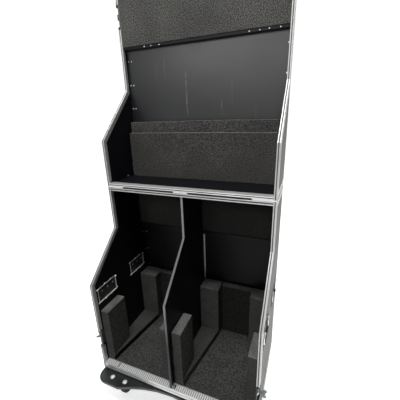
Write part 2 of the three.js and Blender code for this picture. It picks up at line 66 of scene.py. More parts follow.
# ======================================================================================
# materials
# ======================================================================================
class Mat:
    def __init__(self, name, metallic=0.0, specular=0.5, coat=0.0, coat_rough=0.1, sheen=0.0):
        self.m = bpy.data.materials.new(name)
        self.m.use_nodes = True
        t = self.m.node_tree
        t.nodes.clear()
        self.t = t
        self.out = t.nodes.new("ShaderNodeOutputMaterial")
        self.b = t.nodes.new("ShaderNodeBsdfPrincipled")
        t.links.new(self.b.outputs["BSDF"], self.out.inputs["Surface"])
        self.b.inputs["Metallic"].default_value = metallic
        self.b.inputs["Specular IOR Level"].default_value = specular
        self.b.inputs["Coat Weight"].default_value = coat
        self.b.inputs["Coat Roughness"].default_value = coat_rough
        self.b.inputs["Sheen Weight"].default_value = sheen
        self.co = t.nodes.new("ShaderNodeTexCoord").outputs["Object"]

    def link(self, a, b):
        self.t.links.new(a, b)

    def put(self, sock, v):
        if hasattr(v, "links") or isinstance(v, bpy.types.NodeSocket):
            self.link(v, sock)
        else:
            sock.default_value = v

    def scaled(self, s, rot=(0, 0, 0), loc=(0, 0, 0)):
        n = self.t.nodes.new("ShaderNodeMapping")
        n.inputs["Scale"].default_value = s
        n.inputs["Rotation"].default_value = rot
        n.inputs["Location"].default_value = loc
        self.link(self.co, n.inputs["Vector"])
        return n.outputs["Vector"]

    def noise(self, scale, detail=3.0, rough=0.55, vec=None, dist=0.0):
        n = self.t.nodes.new("ShaderNodeTexNoise")
        n.inputs["Scale"].default_value = scale
        n.inputs["Detail"].default_value = detail
        n.inputs["Roughness"].default_value = rough
        n.inputs["Distortion"].default_value = dist
        self.link(vec or self.co, n.inputs["Vector"])
        return n.outputs["Fac"]

    def cells(self, scale, feature="F1", rand=1.0, vec=None):
        n = self.t.nodes.new("ShaderNodeTexVoronoi")
        n.feature = feature
        n.inputs["Scale"].default_value = scale
        n.inputs["Randomness"].default_value = rand
        self.link(vec or self.co, n.inputs["Vector"])
        return n.outputs["Distance"]

    def ramp(self, fac, stops, mode="LINEAR"):
        n = self.t.nodes.new("ShaderNodeValToRGB")
        n.color_ramp.interpolation = mode
        e = n.color_ramp.elements
        while len(e) < len(stops):
            e.new(0.5)
        for i, (p, c) in enumerate(stops):
            e[i].position = p
            e[i].color = (c, c, c, 1) if isinstance(c, (int, float)) else (*c, 1)
        self.link(fac, n.inputs["Fac"])
        return n.outputs["Color"]

    def math(self, op, a, b=0.0, clamp=False):
        n = self.t.nodes.new("ShaderNodeMath")
        n.operation = op
        n.use_clamp = clamp
        self.put(n.inputs[0], a)
        self.put(n.inputs[1], b)
        return n.outputs[0]

    def remap(self, fac, lo, hi, a, b):
        n = self.t.nodes.new("ShaderNodeMapRange")
        n.inputs["From Min"].default_value = lo
        n.inputs["From Max"].default_value = hi
        n.inputs["To Min"].default_value = a
        n.inputs["To Max"].default_value = b
        self.link(fac, n.inputs["Value"])
        return n.outputs["Result"]

    def mix(self, fac, a, b, kind="MIX"):
        n = self.t.nodes.new("ShaderNodeMix")
        n.data_type = "RGBA"
        n.blend_type = kind
        self.put(n.inputs["Factor"], fac)
        for s, v in ((n.inputs["A"], a), (n.inputs["B"], b)):
            if isinstance(v, tuple):
                s.default_value = (*v, 1)
            else:
                self.link(v, s)
        return n.outputs["Result"]

    def xyz(self):
        n = self.t.nodes.new("ShaderNodeSeparateXYZ")
        self.link(self.co, n.inputs[0])
        return n.outputs

    def color(self, v):
        self.put(self.b.inputs["Base Color"], v if not isinstance(v, tuple) else (*v, 1))

    def rough(self, v):
        self.put(self.b.inputs["Roughness"], v)

    def bump(self, height, distance, strength=1.0, after=None):
        n = self.t.nodes.new("ShaderNodeBump")
        n.inputs["Distance"].default_value = distance
        n.inputs["Strength"].default_value = strength
        self.link(height, n.inputs["Height"])
        if after is not None:
            self.link(after, n.inputs["Normal"])
        self.link(n.outputs["Normal"], self.b.inputs["Normal"])
        return n.outputs["Normal"]


def foam_material(name, dark, light, grain=150, speck=0.0, streak=None, contrast=1.0):
    m = Mat(name, specular=0.25)
    big = m.noise(5.0, 2, 0.5)
    mid = m.noise(grain, 3, 0.62)
    fine = m.noise(grain * 4.5, 2, 0.6)
    k = 0.12 / contrast
    blend = m.math("ADD", m.math("MULTIPLY", m.remap(mid, 0.5 - k, 0.5 + k, 0, 1), 0.76),
                   m.math("MULTIPLY", m.remap(fine, 0.5 - k, 0.5 + k, 0, 1), 0.24), True)
    c = m.mix(blend, dark, light)
    c = m.mix(m.remap(big, 0.3, 0.7, 0.0, 0.35), c, tuple(v * 0.72 for v in dark))
    if streak:
        s = m.noise(1.0, 2, 0.5, m.scaled(streak))
        c = m.mix(m.remap(s, 0.42, 0.72, 0.0, 0.45), c, tuple(v * 1.25 for v in light))
    if speck:
        k = m.cells(grain * 1.15)
        k = m.ramp(k, [(0.0, 1.0), (0.10, 1.0), (0.20, 0.0), (1.0, 0.0)])
        c = m.mix(m.math("MULTIPLY", k, speck), c, tuple(min(1, v * 2.3) for v in light))
    m.color(c)
    m.rough(m.remap(mid, 0.2, 0.8, 0.88, 0.99))
    pits = m.cells(620)
    h = m.math("ADD", m.math("MULTIPLY", pits, 0.5), m.math("MULTIPLY", mid, 0.7))
    h = m.math("ADD", h, m.math("MULTIPLY", fine, 0.35))
    m.bump(h, 0.0010, 0.75)
    return m.m


def brushed(name, axis, base=(0.60, 0.61, 0.595), r0=0.32, r1=0.54, dirt=0.25, metallic=0.72, foot=None):
    """mill-finish metal with its drawing lines along axis; foot is a height range over which painted shade darkens it
    downwards
    """
    m = Mat(name, metallic=metallic)
    k = [900.0, 900.0, 900.0]
    k[axis] = 6.0
    lines = m.noise(1.0, 4, 0.65, m.scaled(tuple(k)))
    k2 = [260.0, 260.0, 260.0]
    k2[axis] = 2.2
    broad = m.noise(1.0, 2, 0.5, m.scaled(tuple(k2)))
    blot = m.noise(14.0, 4, 0.6)
    k3 = [520.0, 520.0, 520.0]
    k3[axis] = 9.0
    scr = m.remap(m.noise(1.0, 2, 0.5, m.scaled(tuple(k3), (0.05, 0.04, 0.06), (3, 1, 2))), 0.66, 0.74, 0.0, 1.0)
    c = m.mix(m.remap(broad, 0.3, 0.7, 0, 1), tuple(v * 0.90 for v in base), base)
    c = m.mix(m.remap(blot, 0.45, 0.75, 0.0, dirt), c, tuple(v * 0.42 for v in base))
    c = m.mix(m.math("MULTIPLY", scr, 0.22), c, tuple(v * 0.55 for v in base))
    # painted shade: the colour is pulled towards near black from the top of the foot range downwards
    if foot:
        c = m.mix(m.remap(m.xyz()[2], foot[0], foot[1], 0.90, 0.0), c, (0.012, 0.012, 0.012))
    m.color(c)
    r = m.math("ADD", m.remap(lines, 0.25, 0.75, r0, r1), m.math("MULTIPLY", scr, 0.15))
    r = m.math("ADD", r, m.remap(blot, 0.4, 0.8, 0.0, 0.10), True)
    m.rough(r)
    h = m.math("ADD", lines, m.math("MULTIPLY", broad, 0.8))
    m.bump(m.math("SUBTRACT", h, m.math("MULTIPLY", scr, 0.6)), 0.00022, 0.6)
    return m.m


def laminate(name, base, rough, pebble, spec, scuffs=(), haze=(0.05, 0.05, 0.055)):
    m = Mat(name, specular=spec)
    big = m.noise(3.0, 3, 0.55)
    fine = m.noise(pebble, 2, 0.5)
    drag = m.noise(1.0, 3, 0.6, m.scaled((150, 150, 3.0)))
    rub = m.math("MULTIPLY", m.remap(drag, 0.60, 0.74, 0, 1), m.remap(m.noise(7.0, 2), 0.5, 0.7, 0, 1), True)
    c = m.mix(m.remap(big, 0.3, 0.7, 0, 1), base, tuple(v * 1.25 for v in base))
    mask = m.math("MULTIPLY", rub, 0.35)
    xs = m.xyz()
    for x0, z0, z1, w, amp in scuffs:
        wob = m.math("MULTIPLY", m.math("SUBTRACT", m.noise(9.0, 2), 0.5), 0.012)
        d = m.math("ABSOLUTE", m.math("SUBTRACT", m.math("SUBTRACT", xs[0], wob), x0))
        line = m.remap(d, w, w * 0.3, 0.0, 1.0)
        inside = m.math("MULTIPLY", m.remap(xs[2], z0 - 0.02, z0 + 0.02, 0, 1), m.remap(xs[2], z1 + 0.02, z1 - 0.02, 0, 1))
        broken = m.remap(m.noise(1.0, 3, 0.6, m.scaled((60, 60, 28))), 0.35, 0.6, 0, 1)
        mask = m.math("MAXIMUM", mask, m.math("MULTIPLY", m.math("MULTIPLY", line, inside), m.math("MULTIPLY", broken, amp)))
    c = m.mix(mask, c, haze)
    m.color(c)
    r = m.math("ADD", m.remap(big, 0.3, 0.7, rough - 0.04, rough + 0.05), m.math("MULTIPLY", mask, 0.18))
    m.rough(r)
    m.bump(m.math("ADD", fine, m.math("MULTIPLY", m.noise(pebble * 0.35, 2), 0.6)), 0.00035 if pebble < 700 else 0.00010, 0.55)
    return m.m


def steel_paint(name, base, rough, metallic=0.6, wear=(0.35, 0.37, 0.36)):
    m = Mat(name, metallic=metallic, specular=0.5)
    n = m.noise(420.0, 2, 0.5)
    b = m.noise(24.0, 4, 0.65)
    s = m.remap(m.noise(1.0, 2, 0.5, m.scaled((40, 420, 420), (0.6, 0.3, 0.2))), 0.64, 0.72, 0.0, 1.0)
    s = m.math("MULTIPLY", s, m.remap(m.noise(30.0, 2), 0.5, 0.62, 0, 1))
    c = m.mix(m.remap(b, 0.3, 0.7, 0, 1), base, tuple(v * 1.35 for v in base))
    c = m.mix(m.math("MULTIPLY", s, 0.6), c, wear)
    m.color(c)
    m.rough(m.remap(b, 0.3, 0.7, rough - 0.06, rough + 0.10))
    m.bump(n, 0.00016, 0.5)
    return m.m


def zinc(name="zinc", metallic=1.0):
    m = Mat(name, metallic=metallic)
    b = m.noise(40.0, 4, 0.65)
    g = m.noise(160.0, 2, 0.5)
    c = m.mix(m.remap(b, 0.3, 0.7, 0, 1), (0.62, 0.66, 0.65), (0.86, 0.86, 0.82))
    c = m.mix(m.remap(g, 0.55, 0.8, 0, 0.4), c, (0.35, 0.36, 0.34))
    m.color(c)
    m.rough(m.remap(b, 0.25, 0.75, 0.20, 0.38))
    m.bump(m.noise(500.0, 2, 0.5), 0.00010, 0.5)
    return m.m


def rubber(name, base, rough, dusty=0.3, dust=(0.12, 0.115, 0.105)):
    m = Mat(name, specular=0.35)
    b = m.noise(60.0, 4, 0.65)
    f = m.noise(700.0, 2, 0.5)
    c = m.mix(m.remap(f, 0.3, 0.7, 0, 1), base, tuple(v * 1.5 for v in base))
    c = m.mix(m.remap(b, 0.48, 0.78, 0, dusty), c, dust)
    m.color(c)
    m.rough(m.remap(b, 0.3, 0.7, rough - 0.08, min(1.0, rough + 0.08)))
    m.bump(m.math("ADD", f, b), 0.00022, 0.6)
    return m.m


def board_paint(name):
    """film-faced plywood: semi-gloss with rubbed, dusty patches"""
    m = Mat(name, specular=0.5)
    b = m.noise(9.0, 5, 0.6)
    d = m.noise(1.0, 3, 0.6, m.scaled((14, 160, 160)))
    f = m.noise(820.0, 2, 0.5)
    s = m.remap(m.noise(1.0, 2, 0.5, m.scaled((9, 300, 300), (0.2, 0.1, 0.5))), 0.67, 0.74, 0.0, 1.0)
    c = m.mix(m.remap(b, 0.3, 0.7, 0, 1), (0.0095, 0.0108, 0.0125), (0.0165, 0.0180, 0.0200))
    c = m.mix(m.math("MULTIPLY", m.remap(d, 0.56, 0.75, 0, 1), 0.20), c, (0.11, 0.11, 0.11))
    c = m.mix(m.math("MULTIPLY", s, 0.35), c, (0.16, 0.155, 0.15))
    m.color(c)
    m.rough(m.remap(b, 0.3, 0.7, 0.24, 0.40))
    m.bump(m.math("ADD", f, m.math("MULTIPLY", d, 1.5)), 0.00012, 0.6)
    return m.m


def plywood(name, a=(0.42, 0.33, 0.22), b=(0.60, 0.50, 0.37), layers=(1, 1, 1)):
    """raw plywood edge: alternating plies across the sheet"""
    m = Mat(name, specular=0.3)
    n = m.noise(1.0, 3, 0.6, m.scaled((30, 30, 30)))
    l = m.noise(1.0, 1, 0.4, m.scaled(layers))
    g = m.noise(240.0, 3, 0.6)
    c = m.mix(m.remap(l, 0.4, 0.6, 0, 1), a, b)
    c = m.mix(m.remap(n, 0.5, 0.8, 0, 0.4), c, tuple(v * 0.5 for v in a))
    m.color(m.mix(m.remap(g, 0.45, 0.75, 0, 0.3), c, tuple(v * 0.6 for v in a)))
    m.rough(m.remap(g, 0.3, 0.7, 0.6, 0.8))
    m.bump(g, 0.0003, 0.6)
    return m.m


Z0 = CZ
M = {}
M["foam"] = foam_material("foam_face", (0.016, 0.016, 0.0152), (0.095, 0.094, 0.090), 165, speck=0.16, contrast=1.3)
M["foam_board"] = foam_material("foam_board", (0.0085, 0.0085, 0.008), (0.104, 0.100, 0.095), 205, speck=0.24, contrast=2.1)
# darker copy of the face foam for the back pads deep in the bays: painted shade
M["foam_deep_shaded"] = foam_material("foam_deep_shaded", (0.010, 0.010, 0.0095), (0.062, 0.061, 0.058), 165, speck=0.16, contrast=1.3)
# darker copy of the face foam for the pads under the lower module's roof: painted shade
M["foam_upper_shaded"] = foam_material("foam_upper_shaded", (0.014, 0.014, 0.0132), (0.070, 0.069, 0.066), 235, speck=0.16, contrast=1.1)
# darker copy of the foam for the tops of the cheeks' low strips: painted shade near the floor
M["foam_low_shaded"] = foam_material("foam_low_shaded", (0.014, 0.014, 0.0132), (0.078, 0.077, 0.073), 190, speck=0.16, contrast=1.3)
M["foam_cut"] = foam_material("foam_cut", (0.045, 0.045, 0.043), (0.150, 0.149, 0.143), 190, streak=(14, 14, 300))
M["foam_coarse"] = foam_material("foam_coarse", (0.0032, 0.0032, 0.003), (0.132, 0.130, 0.123), 232, speck=0.42, contrast=3.1)
M["lining"] = foam_material("foam_lining", (0.010, 0.010, 0.0095), (0.088, 0.087, 0.083), 200, speck=0.55, contrast=1.8)
M["alu_x"] = brushed("aluminium_x", 0)
M["alu_y"] = brushed("aluminium_y", 1)
M["alu_z"] = brushed("aluminium_z", 2)
for a_, ax_ in (("x", 0), ("y", 1), ("z", 2)):
    # dark copy of the aluminium: painted shade in the closure groove and on the faces that meet between the modules
    M[f"groove_{a_}"] = brushed(f"aluminium_groove_{a_}", ax_, (0.13, 0.132, 0.126), 0.58, 0.76, 0.5, 0.5)
    # slightly lighter copy of the aluminium for the beads: painted highlight
    M[f"bead_{a_}"] = brushed(f"aluminium_bead_{a_}", ax_, (0.66, 0.67, 0.645), 0.36, 0.52, 0.16, 0.6)
    # near-white copy of the aluminium for the sill, its tread tops and the stacking feet's fronts: painted light
    M[f"sill_{a_}"] = brushed(f"aluminium_sill_{a_}", ax_, (0.90, 0.91, 0.90), 0.34, 0.50, 0.12, 0.5)
# the divider cap's metal; painted shade darkens its lower part towards black
M["alu_dull"] = brushed("aluminium_dull", 2, (0.27, 0.278, 0.275), 0.40, 0.60, 0.35, foot=(Z0 + 0.30, Z0 + 0.52))
# darker copy of the aluminium for the flats between the tread ribs: painted shade
M["tread_gap_shaded"] = brushed("aluminium_tread_gap_shaded", 1, (0.34, 0.345, 0.34), 0.46, 0.62, 0.3, 0.5)
M["lam_in"] = laminate("laminate_inner", (0.0032, 0.0034, 0.0048), 0.42, 1100, 0.13)
M["lam_back"] = laminate(
    "laminate_back", (0.0070, 0.0074, 0.0086), 0.36, 1100, 0.5,
    scuffs=[(-0.074, Z0 + 1.335, Z0 + 1.525, 0.0060, 0.95), (-0.192, Z0 + 1.495, Z0 + 1.590, 0.0045, 0.6),
            (-0.240, Z0 + 1.51, Z0 + 1.58, 0.0030, 0.4), (0.113, Z0 + 1.335, Z0 + 1.385, 0.0050, 0.6),
            (0.164, Z0 + 1.375, Z0 + 1.47, 0.0030, 0.5)], haze=(0.085, 0.086, 0.09))
M["lam_out"] = laminate("laminate_outer", (0.034, 0.0330, 0.0295), 0.50, 330, 0.36)
M["ply"] = plywood("ply_edge", (0.34, 0.31, 0.27), (0.52, 0.49, 0.44), layers=(700, 20, 20))
M["ply_dark"] = plywood("ply_edge_dark", (0.022, 0.021, 0.020), (0.034, 0.032, 0.030), (30, 30, 420))
M["dish"] = steel_paint("dish_steel", (0.070, 0.082, 0.079), 0.36, 0.75)
M["dish_edge"] = steel_paint("dish_rim", (0.62, 0.63, 0.60), 0.40, 0.3)
M["zinc"] = zinc()
M["rivet"] = zinc("rivet_zinc", 0.35)
M["board"] = board_paint("board_film")
M["wing"] = steel_paint("wing_steel", (0.20, 0.215, 0.200), 0.36, 0.75)
M["grip"] = rubber("grip_sleeve", (0.018, 0.018, 0.018), 0.62, 0.15)
M["tyre"] = rubber("wheel_tyre", (0.022, 0.022, 0.023), 0.66, 0.45)
M["hub"] = rubber("wheel_hub", (0.030, 0.031, 0.034), 0.42, 0.20)
# near-black material meant for recesses: painted shade; no part uses it
M["black_hole"] = rubber("dark_recess", (0.006, 0.006, 0.006), 0.9, 0.0)
# near-black laminate for the rail at the cheeks' foot: painted shade standing in for the shadow band there
M["shade_rail"] = laminate("laminate_shade_rail", (0.006, 0.006, 0.007), 0.6, 900, 0.1, haze=(0.01, 0.01, 0.01))


# ======================================================================================
# mesh tools
# ======================================================================================
def clean(node, dissolve=True):
    """the CAD node's own shape, as plain faces"""
    bm = bmesh.new()
    bm.from_mesh(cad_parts[node].data)
    bmesh.ops.remove_doubles(bm, verts=bm.verts, dist=2e-5)
    if dissolve:
        bmesh.ops.dissolve_limit(bm, angle_limit=math.radians(0.6), verts=bm.verts, edges=bm.edges, delimit=set())
    bmesh.ops.recalc_face_normals(bm, faces=bm.faces)
    return bm


def bevel(bm, width, segs=2, angle=28, only=None):
    edges = [e for e in bm.edges if len(e.link_faces) == 2
             and e.calc_face_angle(0) > math.radians(angle) and (only is None or only(e))]
    if edges:
        bmesh.ops.bevel(bm, geom=edges, offset=width, offset_type="OFFSET", segments=segs, profile=0.5,
                        affect="EDGES", clamp_overlap=True, miter_outer="ARC" if segs > 2 else "SHARP")
    return bm


def spread(bm):
    me = bpy.data.meshes.new("t")
    bm.to_mesh(me)
    me.calc_loop_triangles()
    a = sum(t.area for t in me.loop_triangles)
    bpy.data.meshes.remove(me)
    return a


def edged(node, width, segs=2, angle=28, paint=None):
    """the node's shape with its edges broken; faces that frame an opening keep their triangles"""
    whole = spread(clean(node))
    for dissolve in (True, False):
        bm = clean(node, dissolve)
        if paint:
            paint(bm)
        bevel(bm, width, segs, angle)
        if 0.93 < spread(bm) / whole < 1.02:
            return bm
        bm.free()
    bm = clean(node, False)
    if paint:
        paint(bm)
    return bm


def merge(bm, part, mat=0, xf=None):
    if xf is not None:
        part.transform(xf)
    for f in part.faces:
        f.material_index = mat
    me = bpy.data.meshes.new("t")
    part.to_mesh(me)
    part.free()
    bm.from_mesh(me)
    bpy.data.meshes.remove(me)
    return bm


def b_box(lo, hi, r=0.0004, segs=2):
    bm = bmesh.new()
    bmesh.ops.create_cube(bm, size=1)
    s = Vector(hi) - Vector(lo)
    c = (Vector(hi) + Vector(lo)) / 2
    bm.transform(Matrix.Translation(c) @ Matrix.Diagonal((s.x, s.y, s.z, 1)))
    if r:
        bevel(bm, r, segs)
    return bm


def b_lathe(profile, n=24):
    """(radius, height) points turned about Z; the ends close on the axis when their radius is 0"""
    bm = bmesh.new()
    rings = []
    for r, z in profile:
        if r < 1e-7:
            rings.append([bm.verts.new((0, 0, z))])
        else:
            rings.append([bm.verts.new((r * math.cos(2 * math.pi * i / n), r * math.sin(2 * math.pi * i / n), z)) for i in range(n)])
    for a, b in zip(rings, rings[1:]):
        for i in range(n):
            j = (i + 1) % n
            if len(a) == 1 and len(b) == 1:
                continue
            if len(a) == 1:
                bm.faces.new((a[0], b[j], b[i]))
            elif len(b) == 1:
                bm.faces.new((a[i], a[j], b[0]))
            else:
                bm.faces.new((a[i], a[j], b[j], b[i]))
    bmesh.ops.recalc_face_normals(bm, faces=bm.faces)
    return bm


def b_tube(path, r, n=10, closed=False):
    """a round wire along points"""
    bm = bmesh.new()
    pts = [Vector(p) for p in path]
    m = len(pts)
    up = None
    rings = []
    for i, p in enumerate(pts):
        a = pts[(i - 1) % m] if closed or i > 0 else p
        b = pts[(i + 1) % m] if closed or i < m - 1 else p
        d = (b - a).normalized()
        if up is None:
            up = Vector((0, 0, 1)) if abs(d.z) < 0.9 else Vector((1, 0, 0))
        u = (up - d * up.dot(d)).normalized()
        v = d.cross(u)
        up = u
        rings.append([bm.verts.new(p + (u * math.cos(2 * math.pi * k / n) + v * math.sin(2 * math.pi * k / n)) * r) for k in range(n)])
    for i in range(m if closed else m - 1):
        a, b = rings[i], rings[(i + 1) % m]
        for k in range(n):
            bm.faces.new((a[k], a[(k + 1) % n], b[(k + 1) % n], b[k]))
    if not closed:
        bm.faces.new(rings[0][::-1])
        bm.faces.new(rings[-1])
    bmesh.ops.recalc_face_normals(bm, faces=bm.faces)
    return bm


def b_prism(points, axis, a, b, r=0.0):
    """a flat outline of row-frame points in the two other axes, extruded along axis"""
    bm = bmesh.new()
    o = [i for i in range(3) if i != axis]

    def at(p, h):
        v = [0, 0, 0]
        v[o[0]], v[o[1]], v[axis] = p[0], p[1], h
        return bm.verts.new(v)
    lo = [at(p, a) for p in points]
    hi = [at(p, b) for p in points]
    bm.faces.new(lo)
    bm.faces.new(hi[::-1])
    for i in range(len(points)):
        j = (i + 1) % len(points)
        bm.faces.new((lo[j], lo[i], hi[i], hi[j]))
    bmesh.ops.recalc_face_normals(bm, faces=bm.faces)
    if r:
        bevel(bm, r)
    return bm


def aim(pos, normal):
    """puts a Z-up part at pos, its Z along normal"""
    return Matrix.Translation(Vector(pos)) @ Vector(normal).to_track_quat("Z", "Y").to_matrix().to_4x4()


def make(name, bm, mats, body, replaces=(), angle=32, flat=False):
    bmesh.ops.recalc_face_normals(bm, faces=bm.faces)
    me = bpy.data.meshes.new(name)
    bm.to_mesh(me)
    bm.free()
    for m in mats:
        me.materials.append(M[m])
    ob = bpy.data.objects.new(name, me)
    bpy.context.scene.collection.objects.link(ob)
    me.polygons.foreach_set("use_smooth", [not flat] * len(me.polygons))
    if not flat:
        me.set_sharp_from_angle(angle=math.radians(angle))
        w = ob.modifiers.new("weighted", "WEIGHTED_NORMAL")
        w.keep_sharp = True
        w.weight = 90
        bpy.context.view_layer.update()
        done = bpy.data.meshes.new_from_object(ob.evaluated_get(bpy.context.evaluated_depsgraph_get()))
        ob.modifiers.clear()
        ob.data = done
        bpy.data.meshes.remove(me)
        done.name = name
    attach(ob, body)
    if replaces:
        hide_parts(*replaces)
    return ob


def inset(chain, d):
    dirs = []
    for a, b in zip(chain, chain[1:]):
        l = math.hypot(b[0] - a[0], b[1] - a[1])
        dirs.append(((b[0] - a[0]) / l, (b[1] - a[1]) / l))
    out = []
    for i, p in enumerate(chain):
        a, b = dirs[max(i - 1, 0)], dirs[min(i, len(dirs) - 1)]
        na, nb = (a[1], -a[0]), (b[1], -b[0])
        k = d / (1 + na[0] * nb[0] + na[1] * nb[1])
        out.append((p[0] + (na[0] + nb[0]) * k, p[1] + (na[1] + nb[1]) * k))
    return out


RIVET = [(0, 0.75), (0.75, 0.7), (0.9, 1.15), (1.5, 1.1), (2.1, 0.85), (2.6, 0.35), (2.75, 0.0), (2.75, -0.6), (0, -0.6)]
TAIL = [(0, 1.7), (0.9, 1.65), (1.6, 1.35), (1.95, 0.8), (1.9, 0.0), (2.9, 0.0), (2.9, -0.5), (0, -0.5)]


def rivets(name, places, body, scale=1.0, mat="rivet", profile=RIVET, n=12):
    bm = bmesh.new()
    for pos, nor in places:
        merge(bm, b_lathe([(r * MM * scale, z * MM * scale) for r, z in profile], n), 0, aim(pos, nor))
    return make(name, bm, [mat], body, angle=50)


# ======================================================================================
# shells
# ======================================================================================
def member_axis(c, up, chain):
    """which way the edging runs at a face, so that its drawing lines follow it"""
    z = (c.z - (UZ if up else CZ)) / MM
    y = (c.y - CY) / MM
    if z < 34 or z > 960:
        if abs(c.x) < HX - 0.030 or y > 470:
            return 0
        return 1 if y > (chain[0][0] if z < 34 else chain[3][0]) + 34 else 2
    return 2


for mod, W, chain in (("lower", L, LOWER_CHAIN), ("upper", U, UPPER_CHAIN)):
    body = f"{mod}_case"
    up = mod == "upper"
    # side panels: smooth laminate inside, pebbled outside, raw ply where the handles pass through
    for s, n in ((-1, "left"), (1, "right")):
        node = f"{mod}_{n}_side_panel"

        def paint(bm, s=s, up=up):
            for f in bm.faces:
                c, nn = f.calc_center_median(), f.normal
                f.material_index = 1 if nn.x * s > 0.7 else (0 if nn.x * s < -0.7 else 2)
                if abs(nn.x) < 0.3:
                    y, z = (c.y - CY) / MM, (c.z - CZ) / MM
                    if not up and 30 < y < 450 and 401 < z < 487:
                        f.material_index = 3
        bm = edged(node, 0.0003, 1, paint=paint)
        make(f"{node}_skin", bm, ["lam_in", "lam_out", "ply_dark", "ply"], body, [node])
    for part, mats in (("back_panel", ("lam_back" if up else "lam_in", "lam_out")), ("floor_panel", ("lam_in", "lam_out")), ("roof_panel", ("lam_in", "lam_out"))):
        node = f"{mod}_{part}"

        def paint(bm, part=part):
            for f in bm.faces:
                nn = f.normal
                out = nn.y > 0.7 if part == "back_panel" else (nn.z < -0.7 if part == "floor_panel" else nn.z > 0.7)
                f.material_index = 1 if out else 0
        bm = edged(node, 0.0003, 1, paint=paint)
        make(f"{node}_skin", bm, list(mats), body, [node])
    # edging
    for part in ("mouth_frame", "edge_frame"):
        node = f"{mod}_{part}"
        bm = edged(node, 0.00045, 2)
        fronts = []
        for a, b in zip(chain, chain[1:]):
            ln = math.hypot(b[0] - a[0], b[1] - a[1])
            fronts.append((-(b[1] - a[1]) / ln, (b[0] - a[0]) / ln, a))
        for f in bm.faces:
            c, nn = f.calc_center_median(), f.normal
            f.material_index = member_axis(c, up, chain)
            zl = (c.z - (UZ if up else CZ)) / MM
            # faces that meet between the modules take the dark groove metal: painted shade in the joint
            if (not up and nn.z > 0.9 and zl > 978.5) or (up and nn.z < -0.9 and zl < 1.5):
                f.material_index += 3          # the faces that meet between the two modules
                continue
            # the stacking feet's front faces take the near-white sill metal: painted light
            if up and zl < 0.5 and nn.y < -0.9:
                f.material_index = 6           # the stacking feet's front faces
                continue
            if part == "mouth_frame":
                y, z = (c.y - CY) / MM, (c.z - (UZ if up else CZ)) / MM
                for fy, fz, a in fronts:
                    # the closure groove runs along the front, between the two beads; its dark metal is painted shade
                    if nn.y * fy + nn.z * fz > 0.9 and abs((y - a[0]) * fy + (z - a[1]) * fz) < 1.5:
                        f.material_index += 3
                        break
        make(f"{node}_metal", bm, ["alu_x", "alu_y", "alu_z", "groove_x", "groove_y", "groove_z", "sill_x"], body, [node], angle=35)

bm = edged("centre_divider", 0.0003, 1)
make("centre_divider_skin", bm, ["lam_in"], "lower_case", ["centre_divider"])
bm = clean("divider_front_cap")
bevel(bm, 0.0038, 3, 28, only=lambda e: (e.verts[1].co - e.verts[0].co).length > 0.02
      and any(abs(f.normal.x) > 0.9 for f in e.link_faces) and any(f.normal.y < -0.5 for f in e.link_faces))
bm.normal_update()
for f in bm.faces:
    f.material_index = 0 if abs(f.normal.x) < 0.45 and f.normal.y < -0.4 else 1
make("divider_cap_metal", bm, ["alu_dull", "lam_in"], "lower_case", ["divider_front_cap"])
bm = edged("pad_ledge", 0.0005, 2)
make("pad_ledge_skin", bm, ["lam_in"], "upper_case", ["pad_ledge"])


# beads either side of the closure groove, up the sides of each mouth
def strip_along(bm, W, pts, x0, x1, d0, d1, mat=2):
    """a half-round bead that follows the mouth's outline"""
    w, h = x1 - x0, d1 - d0
    rows = []
    for u, v in ((0, 0), (0, 0.45), (0.14, 0.78), (0.34, 0.96), (0.66, 0.96), (0.86, 0.78), (1, 0.45), (1, 0)):
        line = inset(pts, d1 - h * v)
        rows.append([bm.verts.new(W(x0 + w * u, p[0], p[1])) for p in line])
    for a, b in zip(rows, rows[1:] + rows[:1]):
        for i in range(len(a) - 1):
            bm.faces.new((a[i], a[i + 1], b[i + 1], b[i])).material_index = mat
    for k in (0, -1):
        bm.faces.new([r[k] for r in rows]).material_index = mat


def cut_chain(chain, gap):
    """the front chain in two runs, either side of a latch"""
    lo, hi = gap
    k = next(i for i in range(3) if chain[i][1] <= lo and chain[i + 1][1] >= hi)
    t = lambda z: chain[k][0] + (chain[k + 1][0] - chain[k][0]) * (z - chain[k][1]) / (chain[k + 1][1] - chain[k][1])
    first = list(chain[: k + 1]) + [(t(lo), lo)]
    rest = [(t(hi), hi)] + list(chain[k + 1:])
    return [[(y, min(max(z, 1.0), 979.0)) for y, z in run] for run in (first, rest)]


for mod, W, chain, gap in (("lower", L, LOWER_CHAIN, (141.5, 248.5)), ("upper", U, UPPER_CHAIN, (756.5, 863.5))):
    bm = bmesh.new()
    for s in (-1, 1):
        for run in cut_chain(chain, gap):
            for a, b in ((424.6, 420.4), (415.6, 411.4)):
                strip_along(bm, W, run, *sorted((s * a, s * b)), -1.3, 0.35)
    # the sill and head carry the same pair of beads
    y0, y1 = chain[0][0], chain[3][0]
    zs, hb = ((8.2, 25.4), 7.4) if mod == "lower" else ((2.4, 11.0), 1.9)
    for z in zs:
        # the sill's beads take the near-white sill metal: painted light
        merge(bm, b_box(W(-410.8, y0 - 1.3, z - hb), W(410.8, y0 + 0.3, z + hb), 0.0010, 3), 3)
    for z in (966.2, 977.2):
        merge(bm, b_box(W(-410.8, y1 - 1.3, z - 1.9), W(410.8, y1 + 0.3, z + 1.9), 0.0010, 3), 0)
    # the other beads are in the lighter bead metal: painted highlight
    make(f"{mod}_mouth_beads", bm, ["bead_x", "bead_y", "bead_z", "sill_x"], f"{mod}_case")

